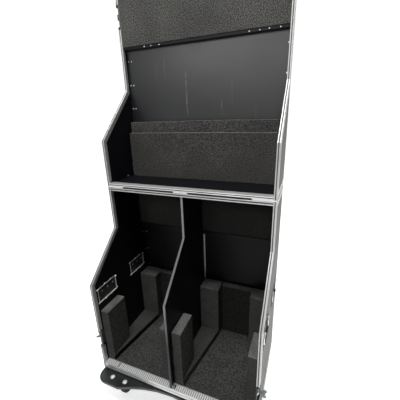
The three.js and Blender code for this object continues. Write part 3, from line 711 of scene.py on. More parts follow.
# inner leg of the mouths' edging, lying on the side walls
def inner_leg(name, W, chain, gap, foot, body):
    bm = bmesh.new()
    for s, run, za, zb in [(s, *v) for s in (-1, 1) for v in zip(cut_chain(chain, gap), (foot, None), (None, 961.0))]:
        run = list(run)
        if za:
            run[0] = (run[0][0], za)
        if zb:
            run[-1] = (run[-1][0], zb)
        rows = []
        for u, d in ((413.9, 9.4), (413.0, 9.4), (412.8, 10.0), (412.8, 21.2), (413.2, 21.8), (413.9, 21.8)):
            rows.append([bm.verts.new(W(s * u, q[0], q[1])) for q in inset(run, d)])
        for a, b in zip(rows, rows[1:] + rows[:1]):
            for i in range(len(a) - 1):
                bm.faces.new((a[i], a[i + 1], b[i + 1], b[i]))
        for k in (0, -1):
            bm.faces.new([r[k] for r in rows])
    bmesh.ops.recalc_face_normals(bm, faces=bm.faces[:])
    make(name, bm, ["alu_z"], body, angle=30)


inner_leg("lower_mouth_inner_leg", L, LOWER_CHAIN, (141.5, 248.5), 36.0, "lower_case")
inner_leg("upper_mouth_inner_leg", U, UPPER_CHAIN, (756.5, 863.5), 22.0, "upper_case")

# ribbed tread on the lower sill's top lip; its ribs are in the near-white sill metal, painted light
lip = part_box("lower_mouth_frame")
sill_top = CZ + 0.0336
bm = bmesh.new()
rows = []
x = -409.0
prof = [(0.0, 0.02), (0.6, 0.85), (1.3, 1.15), (5.6, 1.15), (6.3, 0.85), (6.9, 0.02)]
PITCH = 10.9
while x + PITCH < 409.5:
    for dx, h in prof:
        if -337 < x < -327:
            h = 0.05
        rows.append((x + dx, h))
    x += PITCH
rows.append((x, 0.1))
ys = [(1.0, 0.0), (1.6, 1.0), (27.0, 1.0), (28.0, 0.0)]
grid = [[bm.verts.new(Vector((a * MM, CY + y * MM, sill_top + (h * k + 0.02) * MM))) for y, k in ys] for a, h in rows]
for (a, (ax_, ah)), (b, (bx_, bh)) in zip(zip(grid, rows), list(zip(grid, rows))[1:]):
    for i in range(len(ys) - 1):
        # flats between the ribs take the darker gap metal: painted shade
        bm.faces.new((a[i], b[i], b[i + 1], a[i + 1])).material_index = 1 if ah < 0.1 and bh < 0.1 else 0
under = [[bm.verts.new(Vector((a * MM, CY + y * MM, sill_top - 0.0004))) for y in (1.0, 28.0)] for a in (rows[0][0], rows[-1][0])]
bm.faces.new((under[0][0], under[0][1], under[1][1], under[1][0]))
bm.faces.new([g[0] for g in reversed(grid)] + [under[0][0], under[1][0]])
bm.faces.new([g[-1] for g in grid] + [under[1][1], under[0][1]])
bm.faces.new([v for v in grid[0]] + [under[0][1], under[0][0]])
bm.faces.new([v for v in reversed(grid[-1])] + [under[1][0], under[1][1]])
make("sill_tread", bm, ["sill_y", "tread_gap_shaded"], "lower_case", angle=25)

# small angle that stands the divider on the sill, with its screw
bm = bmesh.new()
merge(bm, b_box(L(5.0, 3.0, 34.6), L(19.0, 24.0, 36.0), 0.0004), 0)
merge(bm, b_box(L(3.9, 3.0, 34.6), L(5.3, 24.0, 50.0), 0.0004), 0)
merge(bm, b_lathe([(r * MM * 1.2, z * MM) for r, z in RIVET], 12), 0, aim(L(12.5, 13, 36.0), (0, 0, 1)))
make("divider_foot_angle", bm, ["zinc"], "lower_case")

# angle in the corner of divider and back wall, above the foam
bm = bmesh.new()
merge(bm, b_box(L(2.6, 476.0, 361), L(3.6, 488.9, 667), 0.0003), 0)
merge(bm, b_box(L(2.6, 487.9, 361), L(7.2, 488.9, 667), 0.0003), 0)
# in the lighter bead metal: painted highlight
make("divider_back_angle", bm, ["bead_z"], "lower_case")
# battens under the bays' upper pads
bm = bmesh.new()
for n in ("left", "right"):
    lo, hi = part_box(f"{n}_bay_upper_pad")
    merge(bm, b_box((lo.x + 0.003, hi.y - 0.021, lo.z - 0.028), (hi.x - 0.003, hi.y - 0.0002, lo.z - 0.006), 0.0012, 3), 0)
make("bay_battens", bm, ["lam_in"], "lower_case")

# ---- rivets ---------------------------------------------------------------------------
for mod, W, chain, gap in (("lower", L, LOWER_CHAIN, (135, 255)), ("upper", U, UPPER_CHAIN, (750, 870))):
    outs, ins = [], []
    for s in (-1, 1):
        X = s * 425.0
        c = inset(chain, 21)
        for a, b in zip(c, c[1:]):
            ln = math.hypot(b[0] - a[0], b[1] - a[1])
            k = max(2, round(ln / 98))
            for i in range(k):
                t = (i + 0.5) / k
                y, z = a[0] + (b[0] - a[0]) * t, a[1] + (b[1] - a[1]) * t
                if gap[0] < z < gap[1]:
                    continue
                outs.append((W(X, y, z), (s, 0, 0)))
        yb = chain[0][0] + 60
        n = max(2, round((470 - yb) / 95))
        for i in range(n):
            outs.append((W(X, yb + (470 - 25 - yb) * (i + 0.5) / n, 17), (s, 0, 0)))
        yt = chain[3][0] + 50
        n = round((445 - yt) / 95)
        for i in range(max(n, 0)):
            outs.append((W(X, yt + (445 - yt) * (i + 0.5) / n, 963), (s, 0, 0)))
        for i in range(9):
            z = 78 + (902 - 78) * (i + 0.5) / 9
            if mod == "lower" or z < 400:
                outs.append((W(X, 486, z), (s, 0, 0)))
            outs.append((W(s * 411, 500, z), (0, 1, 0)))
    for i in range(8):
        x = -350 + 700 * (i + 0.5) / 8
        outs.append((W(x, 500, 17), (0, 1, 0)))
        outs.append((W(x, 500, 963), (0, 1, 0)))
    rivets(f"{mod}_edge_rivets", outs, f"{mod}_case")

tails = []
for z in (1602, 1486, 1367):
    for s in (-1, 1):
        tails += [(L(s * 404, 489.4, z), (0, -1, 0)), (L(s * 386, 489.4, z), (0, -1, 0))] if s < 0 else [(L(407, 489.4, z), (0, -1, 0))]
tails += [(U(-414.2, 388, 18), (1, 0, 0)), (U(414.2, 388, 18), (-1, 0, 0))]
rivets("upper_inner_rivets", tails, "upper_case", profile=TAIL, scale=1.12)
tails = []
for z in (616, 495, 379):
    tails += [(L(-399, 489.4, z), (0, -1, 0)), (L(399, 489.4, z), (0, -1, 0))]
tails += [(L(-414.2, 478, 495), (1, 0, 0)), (L(-414.2, 478, 616), (1, 0, 0)), (L(414.2, 478, 495), (-1, 0, 0))]
rivets("lower_inner_rivets", tails, "lower_case", profile=TAIL, scale=1.3)
lo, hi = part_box("pad_ledge")
rivets("ledge_screws", [((x * MM, lo.y, (lo.z + hi.z) / 2 - 0.001), (0, -1, 0)) for x in (-285, -246, -200, 243, 288, 327, 373)],
       "upper_case", scale=1.0)


# ---- ball corners: leaves riveted over the edging -------------------------------------
def leaf(a, b, r=10):
    """outline of one corner leaf, from the corner out along two edges"""
    pts = [(2, 2), (a - r, 2)]
    for i in range(5):
        t = math.pi / 2 * i / 4
        pts.append((a - r + r * math.sin(t), 2 + r - r * math.cos(t)))
    pts += [(a * 0.62, b * 0.55), (b * 0.0 + 0.55 * a, 0.62 * b)]
    for i in range(5):
        t = math.pi / 2 * i / 4
        pts.append((2 + r - r + r * math.cos(t), b - r + r * math.sin(t)))
    pts.append((2, b - r))
    return pts


for mod, W in (("lower", L), ("upper", U)):
    bm = bmesh.new()
    riv = []
    for s in (-1, 1):
        for top in (0, 1):
            zf = (lambda q: 980 - q) if top else (lambda q: q)
            o = leaf(50, 50)
            if not (mod == "upper" and top):
                pts = [(W(0, 500 - p[0], zf(p[1])).y, W(0, 500 - p[0], zf(p[1])).z) for p in o]
                merge(bm, b_prism(pts, 0, *sorted((s * 424.7 * MM, s * 426.1 * MM)), 0.0004), 2)
                riv += [(W(s * 426.1, 500 - 39, zf(13)), (s, 0, 0)), (W(s * 426.1, 500 - 12, zf(40)), (s, 0, 0))]
            pts = [(s * (425 - p[0]) * MM, W(0, 0, zf(p[1])).z) for p in o]
            merge(bm, b_prism(pts, 1, W(0, 499.7, 0).y, W(0, 501.1, 0).y, 0.0004), 2)
            riv += [(W(s * (425 - 40), 501.1, zf(13)), (0, 1, 0)), (W(s * (425 - 12), 501.1, zf(40)), (0, 1, 0))]
    make(f"{mod}_corner_leaves", bm, ["alu_x", "alu_y", "zinc"], f"{mod}_case")
    rivets(f"{mod}_corner_rivets", riv, f"{mod}_case")


# ======================================================================================
# foam
# ======================================================================================
def slice_grid(bm, step, extra=0.004):
    lo = Vector((min(v.co.x for v in bm.verts), min(v.co.y for v in bm.verts), min(v.co.z for v in bm.verts)))
    hi = Vector((max(v.co.x for v in bm.verts), max(v.co.y for v in bm.verts), max(v.co.z for v in bm.verts)))
    for ax in range(3):
        n = max(1, round((hi[ax] - lo[ax]) / step))
        cuts = [lo[ax] + (hi[ax] - lo[ax]) * i / n for i in range(1, n)]
        if hi[ax] - lo[ax] > 4 * extra:
            cuts += [lo[ax] + extra + 0.0015, hi[ax] - extra - 0.0015]
        nor = Vector((0, 0, 0))
        nor[ax] = 1
        for c in cuts:
            co = Vector((0, 0, 0))
            co[ax] = c
            bmesh.ops.bisect_plane(bm, geom=bm.verts[:] + bm.edges[:] + bm.faces[:], dist=1e-6, plane_co=co, plane_no=nor)


def foam_piece(node, body, mat="foam", cut="foam_cut", step=0.013, thin=None, seed=0, dents=6, low=None,
               rnd=0.0022, shape=None, amp=0.0011, planes=()):
    """a block of cut foam: soft edges, a slightly uneven hand-cut face and a few knocks on its edges"""
    bm = clean(node)
    bevel(bm, rnd, 3, 20)
    for co, no in planes:
        bmesh.ops.bisect_plane(bm, geom=bm.verts[:] + bm.edges[:] + bm.faces[:], dist=1e-6, plane_co=co, plane_no=no)
    slice_grid(bm, step)
    bm.normal_update()
    rnd_ = random.Random(seed * 77 + len(node))
    lo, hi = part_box(node)
    off = Vector((seed * 3.1, seed * 1.7, seed * 5.3))
    knocks = []
    for _ in range(dents):
        p = Vector([rnd_.uniform(lo[i], hi[i]) for i in range(3)])
        ax = [a for a in range(3)]
        rnd_.shuffle(ax)
        for a in ax[:2]:
            p[a] = lo[a] if rnd_.random() < 0.5 else hi[a]
        if abs(p.y - hi.y) < 1e-6:
            p.y = lo.y
        knocks.append((p, rnd_.uniform(0.010, 0.020), rnd_.uniform(0.0012, 0.0030)))
    moves = []
    for v in bm.verts:
        p, nn = v.co, v.normal
        a = noise.noise((p + off) * 14.0)
        b = noise.noise((p + off) * 55.0)
        d = amp * (0.55 + 0.45 * a) + amp * 0.40 * (0.5 + 0.5 * b)
        mv = -nn * d
        for kp, kr, kd in knocks:
            q = (p - kp).length / kr
            if q < 1:
                mv -= nn * kd * (1 - q * q) ** 2
        moves.append((v, mv))
    for v, mv in moves:
        v.co += mv
    if shape:
        shape(bm, lo, hi)
    big = (hi - lo)
    thin_ax = thin if thin is not None else min(range(3), key=lambda i: big[i])
    bm.normal_update()
    for f in bm.faces:
        if f.material_index < 2:
            f.material_index = 0 if abs(f.normal[thin_ax]) > 0.75 else 1
            # upward faces low on the cheeks take the darker foam copy: painted shade
            if low and f.calc_center_median().z < low and f.normal.z > 0.3:
                f.material_index = 3
    ob = make(f"{node}_foam", bm, [mat, cut, "shade_rail"] + (["foam_low_shaded"] if low else []), body, [node], angle=60)
    return ob


def cheek_shape(wall_side, shade_rail, undercut=0.0045):
    """foam layer over a black rail along the foot of the tapering strip; the rail is painted shade, standing in for the
    shadow band there
    """
    def run(bm, lo, hi):
        base = lo.z
        top = base + 0.0387
        zr = top - shade_rail
        for v in bm.verts:
            y = (v.co.y - CY) / MM
            if not (27 < y < 396):
                continue
            t = min(max((y - 30) / 364, 0), 1)
            if wall_side < 0:
                xl = lo.x + (49 + 65 * t) * MM
                near = v.co.x > xl - 0.0042 and v.co.x < xl + 0.004
            else:
                xl = hi.x - (49 + 65 * t) * MM
                near = v.co.x < xl + 0.0042 and v.co.x > xl - 0.004
            if near and v.co.z < zr + 1e-5:
                k = min(1.0, (y - 27) / 8.0)
                v.co.x += wall_side * undercut * k
        bm.normal_update()
        for f in bm.faces:
            c = f.calc_center_median()
            y = (c.y - CY) / MM
            if not (30 < y < 394) or c.z > zr + 0.0016:
                continue
            t = (y - 30) / 364
            xl = (lo.x + (49 + 65 * t) * MM) if wall_side < 0 else (hi.x - (49 + 65 * t) * MM)
            # the strip's inner side below the foam layer takes the black rail laminate: painted shade
            if abs(c.x - xl) < 0.0075 and f.normal.x * wall_side < 0.2:
                f.material_index = 2
    return run


# over is the foam layer above the black rail; the left bay's thinner layer leaves a wider band of painted shade
seed = 1
for node, side, over in (("left_bay_left_cheek", -1, 0.011), ("left_bay_right_cheek", 1, 0.011),
                         ("right_bay_left_cheek", -1, 0.031), ("right_bay_right_cheek", 1, 0.031)):
    lo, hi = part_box(node)
    zr = lo.z + 0.0387 - over
    planes = [(Vector((0, 0, zr)), Vector((0, 0, 1))), (Vector((0, 0, zr + 0.0012)), Vector((0, 0, 1)))]
    foam_piece(node, "lower_case", thin=0, seed=seed, dents=9, shape=cheek_shape(side, over), planes=planes,
               low=lo.z + 0.045)
    seed += 1
# the bays' back and upper pads take darker copies of the face foam: painted shade
for node, mat in (("left_bay_back_pad", "foam_deep_shaded"), ("right_bay_back_pad", "foam_deep_shaded"),
                  ("left_bay_upper_pad", "foam_upper_shaded"), ("right_bay_upper_pad", "foam_upper_shaded")):
    foam_piece(node, "lower_case", mat=mat, thin=1, seed=seed, step=0.014)
    seed += 1
foam_piece("floor_lining", "lower_case", mat="lining", cut="foam_cut", thin=2, seed=seed, step=0.016, dents=10, amp=0.0008)
foam_piece("upper_wall_pad", "upper_case", mat="foam_coarse", thin=1, seed=seed + 1, step=0.015, dents=6)


def bow(a, b):
    def run(bm, lo, hi):
        for v in bm.verts:
            t = (v.co.x - lo.x) / (hi.x - lo.x)
            h = (v.co.z - lo.z) / (hi.z - lo.z)
            v.co.y += a * math.sin(math.pi * t) * h
            v.co.z += b * math.sin(math.pi * (t * 1.3 - 0.15)) * h * h - abs(b) * h * h
    return run


foam_piece("front_foam_board", "front_foam_board", mat="foam_board", thin=1, seed=seed + 2, step=0.014, dents=7, shape=bow(-0.0018, 0.0010))
foam_piece("rear_foam_board", "rear_foam_board", mat="foam_board", thin=1, seed=seed + 3, step=0.014, dents=7, shape=bow(0.0012, 0.0016))


# ======================================================================================
# recessed handles
# ======================================================================================
for s, n in ((-1, "left"), (1, "right")):
    for m in ("front", "rear"):
        dish, gripn = f"{n}_{m}_handle_dish", f"{n}_{m}_handle_grip"
        lo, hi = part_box(dish)
        c = (lo + hi) / 2
        face = hi.x if s > 0 else lo.x
        bm = edged(dish, 0.0007, 3)
        # pressed bead round the tray's mouth
        ring = []
        for a, b in ((1, 1), (1, -1), (-1, -1), (-1, 1)):
            for i in range(5):
                t = {(1, 1): 0, (1, -1): 1, (-1, -1): 2, (-1, 1): 3}[(a, b)]
                ang = math.pi / 2 - (t * math.pi / 2) - math.pi / 2 * i / 4
                cy, cz = c.y + a * 0.0635, c.z + b * 0.0370
                ring.append((face, cy + 0.0045 * math.cos(ang) if False else cy + 0.0045 * (math.cos(ang)), cz + 0.0045 * math.sin(ang)))
        merge(bm, b_tube(ring, 0.0011, 8, True), 0)
        # hinge lugs
        glo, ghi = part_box(gripn)
        gx = (glo.x + ghi.x) / 2
        piv_z = c.z + 0.029
        for k in (-1, 1):
            y0 = c.y + k * 0.0630
            merge(bm, b_box((min(face, gx + s * 0.002) if s > 0 else gx + s * 0.0045, y0 - 0.0012, piv_z - 0.0060),
                            (gx + s * 0.0045 if s > 0 else max(face, gx + s * 0.002), y0 + 0.0012, piv_z + 0.0060), 0.0005), 1)
        make(f"{dish}_steel", bm, ["dish", "dish_edge"], "lower_case", [dish])
        rv = [((face, c.y + a * 0.0665, c.z + b * 0.0435), (s, 0, 0)) for a in (-1, 1) for b in (-1, 1)]
        rv += [((face, c.y + a, c.z + b * 0.0440), (s, 0, 0)) for a in (-0.022, 0.022) for b in (-1, 1)]
        rivets(f"{dish}_rivets", rv, "lower_case")
        # their tails inside the case, on the wall and on the tray's back
        back = lo.x if s > 0 else hi.x
        wall = s * 0.4142
        tl = [((back, c.y + a, c.z + 0.012), (-s, 0, 0)) for a in (-0.036, 0.0065, 0.048)]
        tl += [((wall, c.y + a, c.z + b), (-s, 0, 0)) for a, b in ((-0.0155, 0.0440), (0.029, 0.0440), (0.0715, 0.036), (0.0730, -0.036), (-0.0715, -0.040), (-0.0715, 0.040), (-0.02, -0.044), (0.022, -0.044))]
        rivets(f"{dish}_tails", tl, "lower_case", profile=TAIL, scale=1.7)
        ring = []
        for a, b, q in ((1, 1, 0), (1, -1, 1), (-1, -1, 2), (-1, 1, 3)):
            for i in range(5):
                ang = math.pi / 2 - q * math.pi / 2 - math.pi / 2 * i / 4
                ring.append((s * 0.41395, c.y + a * 0.0650 + 0.0030 * math.cos(ang), c.z + b * 0.0385 + 0.0030 * math.sin(ang)))
        bm = b_tube(ring, 0.0013, 8, True)
        make(f"{dish}_rim", bm, ["dish_edge"], "lower_case", angle=60)
        # sprung bail and ribbed sleeve
        r = 0.0031
        y0, y1 = c.y - 0.0560, c.y + 0.0560
        zb = glo.z + 0.0055
        path = [(gx, c.y - 0.0625, piv_z), (gx, y0 - 0.0035, piv_z)]
        for i in range(5):
            t = math.pi / 2 * i / 4
            path.append((gx, y0 - 0.0035 + 0.0035 * math.sin(t), piv_z - 0.0035 + 0.0035 * math.cos(t)))
        for i in range(6):
            t = math.pi / 2 * i / 5
            path.append((gx, y0 + 0.007 - 0.007 * math.cos(t), zb + 0.007 - 0.007 * math.sin(t)))
        path += [(p[0], 2 * c.y - p[1], p[2]) for p in reversed(path)]
        bm = b_tube(path, r, 12)
        make(f"{gripn}_bail", bm, ["zinc"], gripn, angle=50)
        prof = [(0.0, -0.0470), (0.0040, -0.0470), (0.0052, -0.0462)]
        k = -0.044
        while k < 0.0435:
            prof += [(0.0054, k), (0.0054, k + 0.0030), (0.0047, k + 0.0036), (0.0047, k + 0.0044)]
            k += 0.0050
        prof += [(0.0052, 0.0462), (0.0040, 0.0470), (0.0, 0.0470)]
        bm = bmesh.new()
        merge(bm, b_lathe(prof, 20), 0, aim((gx, c.y, zb), (0, 1, 0)))
        make(f"{gripn}_sleeve", bm, ["grip"], gripn, [gripn], angle=40)
        # coil springs on the pivots
        bm = bmesh.new()
        for k in (-1, 1):
            hel = []
            for i in range(61):
                t = i / 60
                ang = 2 * math.pi * 5 * t
                hel.append((gx + 0.0044 * math.cos(ang), c.y + k * (0.0405 + 0.0085 * t), piv_z + 0.0044 * math.sin(ang)))
            merge(bm, b_tube(hel, 0.0007, 6), 0)
            merge(bm, b_tube([(gx, c.y + k * 0.0385, piv_z), (gx, c.y + k * 0.0545, piv_z)], 0.0030, 12), 0)
        make(f"{dish}_springs", bm, ["zinc"], "lower_case", angle=60)

# ======================================================================================
# latches
# ======================================================================================
for s, n in ((-1, "left"), (1, "right")):
    for mod, node, body in (("lower", f"lower_{n}_latch_dish", "lower_case"), ("upper", f"upper_{n}_keeper_dish", "upper_case")):
        lo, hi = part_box(node)
        bm = edged(node, 0.0006, 3)
        face = hi.x if s > 0 else lo.x
        make(f"{node}_steel", bm, ["dish"], body, [node])
        zc, h = (lo.z + hi.z) / 2, (hi.z - lo.z) / 2
        f2 = s * (424.7 * MM)
        rv = [((f2, lo.y + 0.0055, zc + b * (h - 0.0050)), (s, 0, 0)) for b in (-1, 1)]
        rv += [((f2, hi.y - 0.0048, zc + b * (h - 0.0060)), (s, 0, 0)) for b in (-1, 1)]
        rv += [((f2, hi.y - 0.0048, zc + b * 0.016), (s, 0, 0)) for b in (-1, 1)]
        rivets(f"{node}_rivets", rv, body, scale=1.15)
    rot, wing = f"lower_{n}_latch_rotor", f"lower_{n}_latch_wing"
    lo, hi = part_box(rot)
    bm = edged(rot, 0.0005, 2)
    wlo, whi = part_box(wing)
    yc, zc = (wlo.y + whi.y) / 2, (wlo.z + whi.z) / 2
    for k in (-1, 1):
        merge(bm, b_lathe([(0.0, -0.0004), (0.0022, -0.0004), (0.0022, 0.0004), (0.0013, 0.0007), (0.0, 0.0007)], 14), 0,
              aim((lo.x + 0.0030 if s > 0 else hi.x - 0.0030, yc + k * 0.0105 * 0.2, zc + k * 0.0098), (s, 0, 0)))
    make(f"{rot}_zinc", bm, ["zinc"], rot, [rot])
    # the wing: a stem from the fold axis and two lobes with a notch between them
    root, tip_x = (wlo.x, whi.x) if s > 0 else (whi.x, wlo.x)
    ln, hw = abs(tip_x - root), (whi.y - wlo.y) / 2
    half = [(0.0, 0.26), (0.22, 0.26), (0.34, 0.42), (0.52, 0.86), (0.68, 1.0), (0.86, 0.98), (0.97, 0.84), (1.0, 0.66),
            (0.94, 0.40), (0.84, 0.16), (0.76, 0.0)]
    pts = [(root + s * ln * u, yc + hw * v) for u, v in half] + [(root + s * ln * u, yc - hw * v) for u, v in reversed(half[:-1])]
    th = (whi.z - wlo.z) / 2
    flat = min(th, 0.0014)
    bm = b_prism(pts, 2, zc - flat, zc + flat, 0.0005)
    for k in (1,):
        for q in (-1, 1):
            merge(bm, b_tube([(root + s * ln * 0.36, yc + q * hw * 0.22, zc + k * flat), (root + s * ln * 0.62, yc + q * hw * 0.56, zc + k * (flat + 0.0004)),
                              (root + s * ln * 0.88, yc + q * hw * 0.66, zc + k * flat)], 0.0009, 8), 0)
    merge(bm, b_tube([(root + s * 0.0013, yc - 0.0046, zc), (root + s * 0.0013, yc, zc), (root + s * 0.0013, yc + 0.0046, zc)], 0.0013, 12), 0)
    make(f"{wing}_zinc", bm, ["wing"], wing, [wing])

# ======================================================================================
# castor board and castors
# ======================================================================================
bm = clean("wheelboard")
lo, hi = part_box("wheelboard")
top = CZ - 0.008
bevel(bm, 0.0028, 3, 40, only=lambda e: all(abs(v.co.z - e.verts[0].co.z) < 1e-5 for v in e.verts) and e.verts[0].co.z < top + 1e-4)
bm.normal_update()
for f in bm.faces:
    f.material_index = 0
make("wheelboard_film", bm, ["board"], "lower_case", ["wheelboard"], angle=30)

DOME = [(0, 5.4), (3.2, 5.2), (6.4, 4.1), (8.8, 2.3), (9.9, 0.9), (10.0, 0.0), (10.0, -0.5), (0, -0.5)]
WASH = [(0, 0.9), (7.0, 0.9), (12.0, 0.7), (12.4, 0.2), (12.4, -0.4), (0, -0.4)]


def hexnut(r, h, z0=0.0):
    bm = b_lathe([(0, z0), (r, z0), (r, z0 + h), (0, z0 + h)], 6)
    bevel(bm, 0.0006, 2, 50)
    return bm


for m, ys_ in (("front", 0), ("rear", 1)):
    for s, n in ((-1, "left"), (1, "right")):
        pl, fo, wh = f"{m}_{n}_castor_plate", f"{m}_{n}_castor_fork", f"{m}_{n}_castor_wheel"
        plo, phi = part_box(pl)
        c = (plo + phi) / 2
        bm = clean(pl)
        bevel(bm, 0.010, 4, 40, only=lambda e: abs(e.verts[0].co.z - e.verts[1].co.z) > 0.001)
        bevel(bm, 0.0005, 2, 60)
        # pressed ring round the kingpin
        merge(bm, b_lathe([(0.0300, -0.0001), (0.0300, -0.0009), (0.0335, -0.0012), (0.0350, -0.0001)], 40), 0, Matrix.Translation((c.x, c.y, plo.z + 0.0001)))
        for a in (-0.040, 0.040):
            for b in (-0.030, 0.030):
                merge(bm, hexnut(0.0072, 0.0055), 0, aim((c.x + a, c.y + b, plo.z + 0.0002), (0, 0, -1)))
                merge(bm, b_lathe([(0, 0), (0.0036, 0), (0.0036, 0.0085), (0.0030, 0.0092), (0, 0.0092)], 12), 0, aim((c.x + a, c.y + b, plo.z + 0.0002), (0, 0, -1)))
        make(f"{pl}_zinc", bm, ["zinc"], "lower_case", [pl])
        bm = bmesh.new()
        for a in (-0.040, 0.040):
            for b in (-0.030, 0.030):
                merge(bm, b_lathe([(r * MM, z * MM) for r, z in WASH], 24), 0, Matrix.Translation((c.x + a, c.y + b, top)))
                merge(bm, b_lathe([(r * MM, (z + 0.8) * MM) for r, z in DOME], 24), 0, Matrix.Translation((c.x + a, c.y + b, top)))
        make(f"{m}_{n}_board_bolts", bm, ["rivet"], "lower_case", angle=45)
        # fork: pressed legs, ball race, kingpin and axle nuts
        flo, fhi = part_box(fo)
        wlo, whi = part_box(wh)
        wc = (wlo + whi) / 2
        bm = edged(fo, 0.0007, 2, 30)
        merge(bm, b_lathe([(0.0324, 0.0), (0.0329, -0.0008), (0.0329, -0.0030), (0.0325, -0.0034), (0.0329, -0.0038), (0.0329, -0.0060), (0.0320, -0.0064)], 48), 0, Matrix.Translation((c.x, c.y, fhi.z - 0.0002)))
        for q in (-1, 1):
            merge(bm, hexnut(0.0080, 0.0036), 0, aim((wc.x + q * 0.0224, wc.y, wc.z), (q, 0, 0)))
            rib = [(wc.x + q * 0.0226, c.y - 0.010, fhi.z - 0.020), (wc.x + q * 0.0228, (c.y + wc.y) / 2 - 0.002, (fhi.z + wc.z) / 2), (wc.x + q * 0.0226, wc.y - 0.003, wc.z + 0.016)]
            merge(bm, b_tube(rib, 0.0014, 8), 0)
        make(f"{fo}_zinc", bm, ["zinc"], fo, [fo])
        # wheel: crowned tyre with a tread line, ribbed hub
        R_, w_ = (whi.z - wlo.z) / 2, 0.016
        tyre = [(0.0375, -0.0150), (0.0400, -0.0160), (0.0440, -0.0160), (0.0478, -0.0142), (0.0494, -0.0110), (0.0498, -0.0060),
                (0.0500, -0.0012), (0.0493, -0.0006), (0.0493, 0.0006), (0.0500, 0.0012), (0.0498, 0.0060), (0.0494, 0.0110),
                (0.0478, 0.0142), (0.0440, 0.0160), (0.0400, 0.0160), (0.0375, 0.0150), (0.0360, 0.0118), (0.0360, -0.0118), (0.0375, -0.0150)]
        k = R_ / 0.050
        bm = bmesh.new()
        merge(bm, b_lathe([(r * k, z) for r, z in tyre], 56), 0, aim(wc, (1, 0, 0)))
        make(f"{wh}_tyre", bm, ["tyre"], wh, [wh], angle=40)
        hub = [(0.0056, -0.0183), (0.0120, -0.0183), (0.0130, -0.0175), (0.0145, -0.0112), (0.0165, -0.0092), (0.0330, -0.0092), (0.0352, -0.0128), (0.0371, -0.0140),
               (0.0371, 0.0140), (0.0352, 0.0128), (0.0330, 0.0092), (0.0165, 0.0092), (0.0145, 0.0112), (0.0130, 0.0175), (0.0120, 0.0183), (0.0056, 0.0183), (0.0056, -0.0183)]
        bm = bmesh.new()
        merge(bm, b_lathe(hub, 48), 0, aim(wc, (1, 0, 0)))
        for q in (-1, 1):
            for i in range(8):
                a = 2 * math.pi * (i + 0.5) / 8
                d = Vector((0, math.cos(a), math.sin(a)))
                p0 = wc + d * 0.0135 + Vector((q * 0.0095, 0, 0))
                p1 = wc + d * 0.0345 + Vector((q * 0.0095, 0, 0))
                merge(bm, b_tube([p0, (p0 + p1) / 2, p1], 0.0021, 8), 0)
            merge(bm, b_lathe([(0.0060, 0.0), (0.0105, 0.0), (0.0110, 0.0006), (0.0110, 0.0014), (0.0060, 0.0014), (0.0060, 0.0)], 28), 1,
                  aim(wc + Vector((q * 0.0182, 0, 0)), (q, 0, 0)))
        make(f"{wh}_hub", bm, ["hub", "zinc"], wh, angle=40)
        if m == "front":
            pe = f"front_{n}_brake_pedal"
            elo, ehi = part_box(pe)
            bm = edged(pe, 0.0007, 2)
            for i in range(5):
                t = 0.30 + 0.14 * i
                y = elo.y + 0.003 + (ehi.y - elo.y - 0.003) * t
                z = ehi.z + (elo.z + 0.004 - ehi.z) * t
                merge(bm, b_tube([(elo.x + 0.004, y, z), (ehi.x - 0.004, y, z)], 0.0010, 8), 0)
            make(f"{pe}_steel", bm, ["dish"], pe, [pe])

# ======================================================================================
# stage, light and camera
# ======================================================================================
def disc(name, radius, z, mat):
    bm = bmesh.new()
    bmesh.ops.create_circle(bm, cap_ends=True, segments=96, radius=radius)
    me = bpy.data.meshes.new(name)
    bm.to_mesh(me)
    bm.free()
    me.materials.append(mat)
    ob = bpy.data.objects.new(name, me)
    ob.location.z = z
    bpy.context.scene.collection.objects.link(ob)
    return ob


# a pale paper floor: what is seen is lit up to white, and what bounces back is a soft grey
fm = Mat("floor_paper", specular=0.0)
fm.color(fm.mix(fm.remap(fm.noise(3.0, 3), 0.3, 0.7, 0, 1), (0.80, 0.80, 0.795), (0.84, 0.84, 0.835)))
fm.rough(0.9)
fm.b.inputs["Emission Color"].default_value = (1, 1, 1, 1)
fm.b.inputs["Emission Strength"].default_value = 0.72
shown = disc("floor", 40.0, 0.0, fm.m)
shown.visible_diffuse = shown.visible_transmission = shown.visible_shadow = False
fb = Mat("floor_bounce", specular=0.0)
fb.color(fb.mix(fb.remap(fb.noise(0.8, 2), 0.3, 0.7, 0, 1), (0.13, 0.13, 0.13), (0.16, 0.16, 0.16)))
fb.rough(0.9)
under = disc("floor_under", 40.0, -0.0005, fb.m)
under.visible_camera = under.visible_glossy = False

# white paper all round, as a backdrop only
bm = bmesh.new()
bmesh.ops.create_icosphere(bm, subdivisions=4, radius=46.0)
me = bpy.data.meshes.new("backdrop")
bm.to_mesh(me)
bm.free()
pm = Mat("backdrop_paper", specular=0.0)
pm.color(pm.mix(pm.remap(pm.noise(0.2, 2), 0.3, 0.7, 0, 1), (0.80, 0.80, 0.80), (0.82, 0.82, 0.82)))
pm.rough(0.9)
pm.b.inputs["Emission Color"].default_value = (1, 1, 1, 1)
pm.b.inputs["Emission Strength"].default_value = 1.0
me.materials.append(pm.m)
back = bpy.data.objects.new("backdrop", me)
bpy.context.scene.collection.objects.link(back)
back.visible_diffuse = back.visible_glossy = back.visible_transmission = back.visible_shadow = False

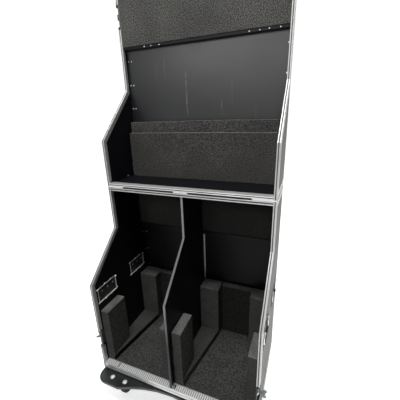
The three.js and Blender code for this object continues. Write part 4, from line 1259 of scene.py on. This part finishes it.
sc = bpy.context.scene
w = bpy.data.worlds.new("studio")
sc.world = w
w.use_nodes = True
t = w.node_tree
bg = t.nodes["Background"]
tc = t.nodes.new("ShaderNodeTexCoord")
sx = t.nodes.new("ShaderNodeSeparateXYZ")
t.links.new(tc.outputs["Generated"], sx.inputs[0])
mr = t.nodes.new("ShaderNodeMapRange")
mr.interpolation_type = "SMOOTHSTEP"
mr.inputs["From Min"].default_value = -0.15
mr.inputs["From Max"].default_value = 0.32
mr.inputs["To Min"].default_value = 0.10
mr.inputs["To Max"].default_value = 1.02
t.links.new(sx.outputs["Y"], mr.inputs["Value"])
t.links.new(mr.outputs["Result"], bg.inputs["Strength"])
bg.inputs["Color"].default_value = (1, 1, 1, 1)


def area(name, pos, target, size, power, color=(1, 1, 1)):
    d = bpy.data.lights.new(name, "AREA")
    d.shape = "RECTANGLE"
    d.size, d.size_y = size
    d.energy = power
    d.color = color
    o = bpy.data.objects.new(name, d)
    o.location = pos
    o.rotation_euler = (Vector(target) - Vector(pos)).to_track_quat("-Z", "Y").to_euler()
    sc.collection.objects.link(o)
    return o


area("key", (0.15, -0.82, 4.3), (0.0, -0.10, 0.9), (1.2, 1.2), 135)
sheen = area("sheen", (-0.55, -2.5, 2.62), (0.0, 0.1, 2.15), (2.6, 1.2), 7.2)
sheen.data.spread = math.radians(62)
sc.view_settings.view_transform = "Standard"
sc.view_settings.look = "None"
sc.view_settings.exposure = 0.0
sc.view_settings.gamma = 1.0

cam = bpy.data.cameras.new("camera")
cam.lens = 23.28
cam.sensor_width = 36
cam.clip_end = 100
co = bpy.data.objects.new("camera", cam)
yaw, pitch, roll = 0.3916, 0.3158, -0.0303
fw = Vector((-math.sin(yaw) * math.cos(pitch), math.cos(yaw) * math.cos(pitch), -math.sin(pitch)))
rt = Vector((math.cos(yaw), math.sin(yaw), 0))
up_ = rt.cross(fw)
r_ = rt * math.cos(roll) + up_ * math.sin(roll)
u_ = up_ * math.cos(roll) - rt * math.sin(roll)
mx = Matrix((r_, u_, -fw)).transposed().to_4x4()
mx.translation = L(514.0, -797.6, 1321.2)
co.matrix_world = mx
sc.collection.objects.link(co)
sc.camera = co
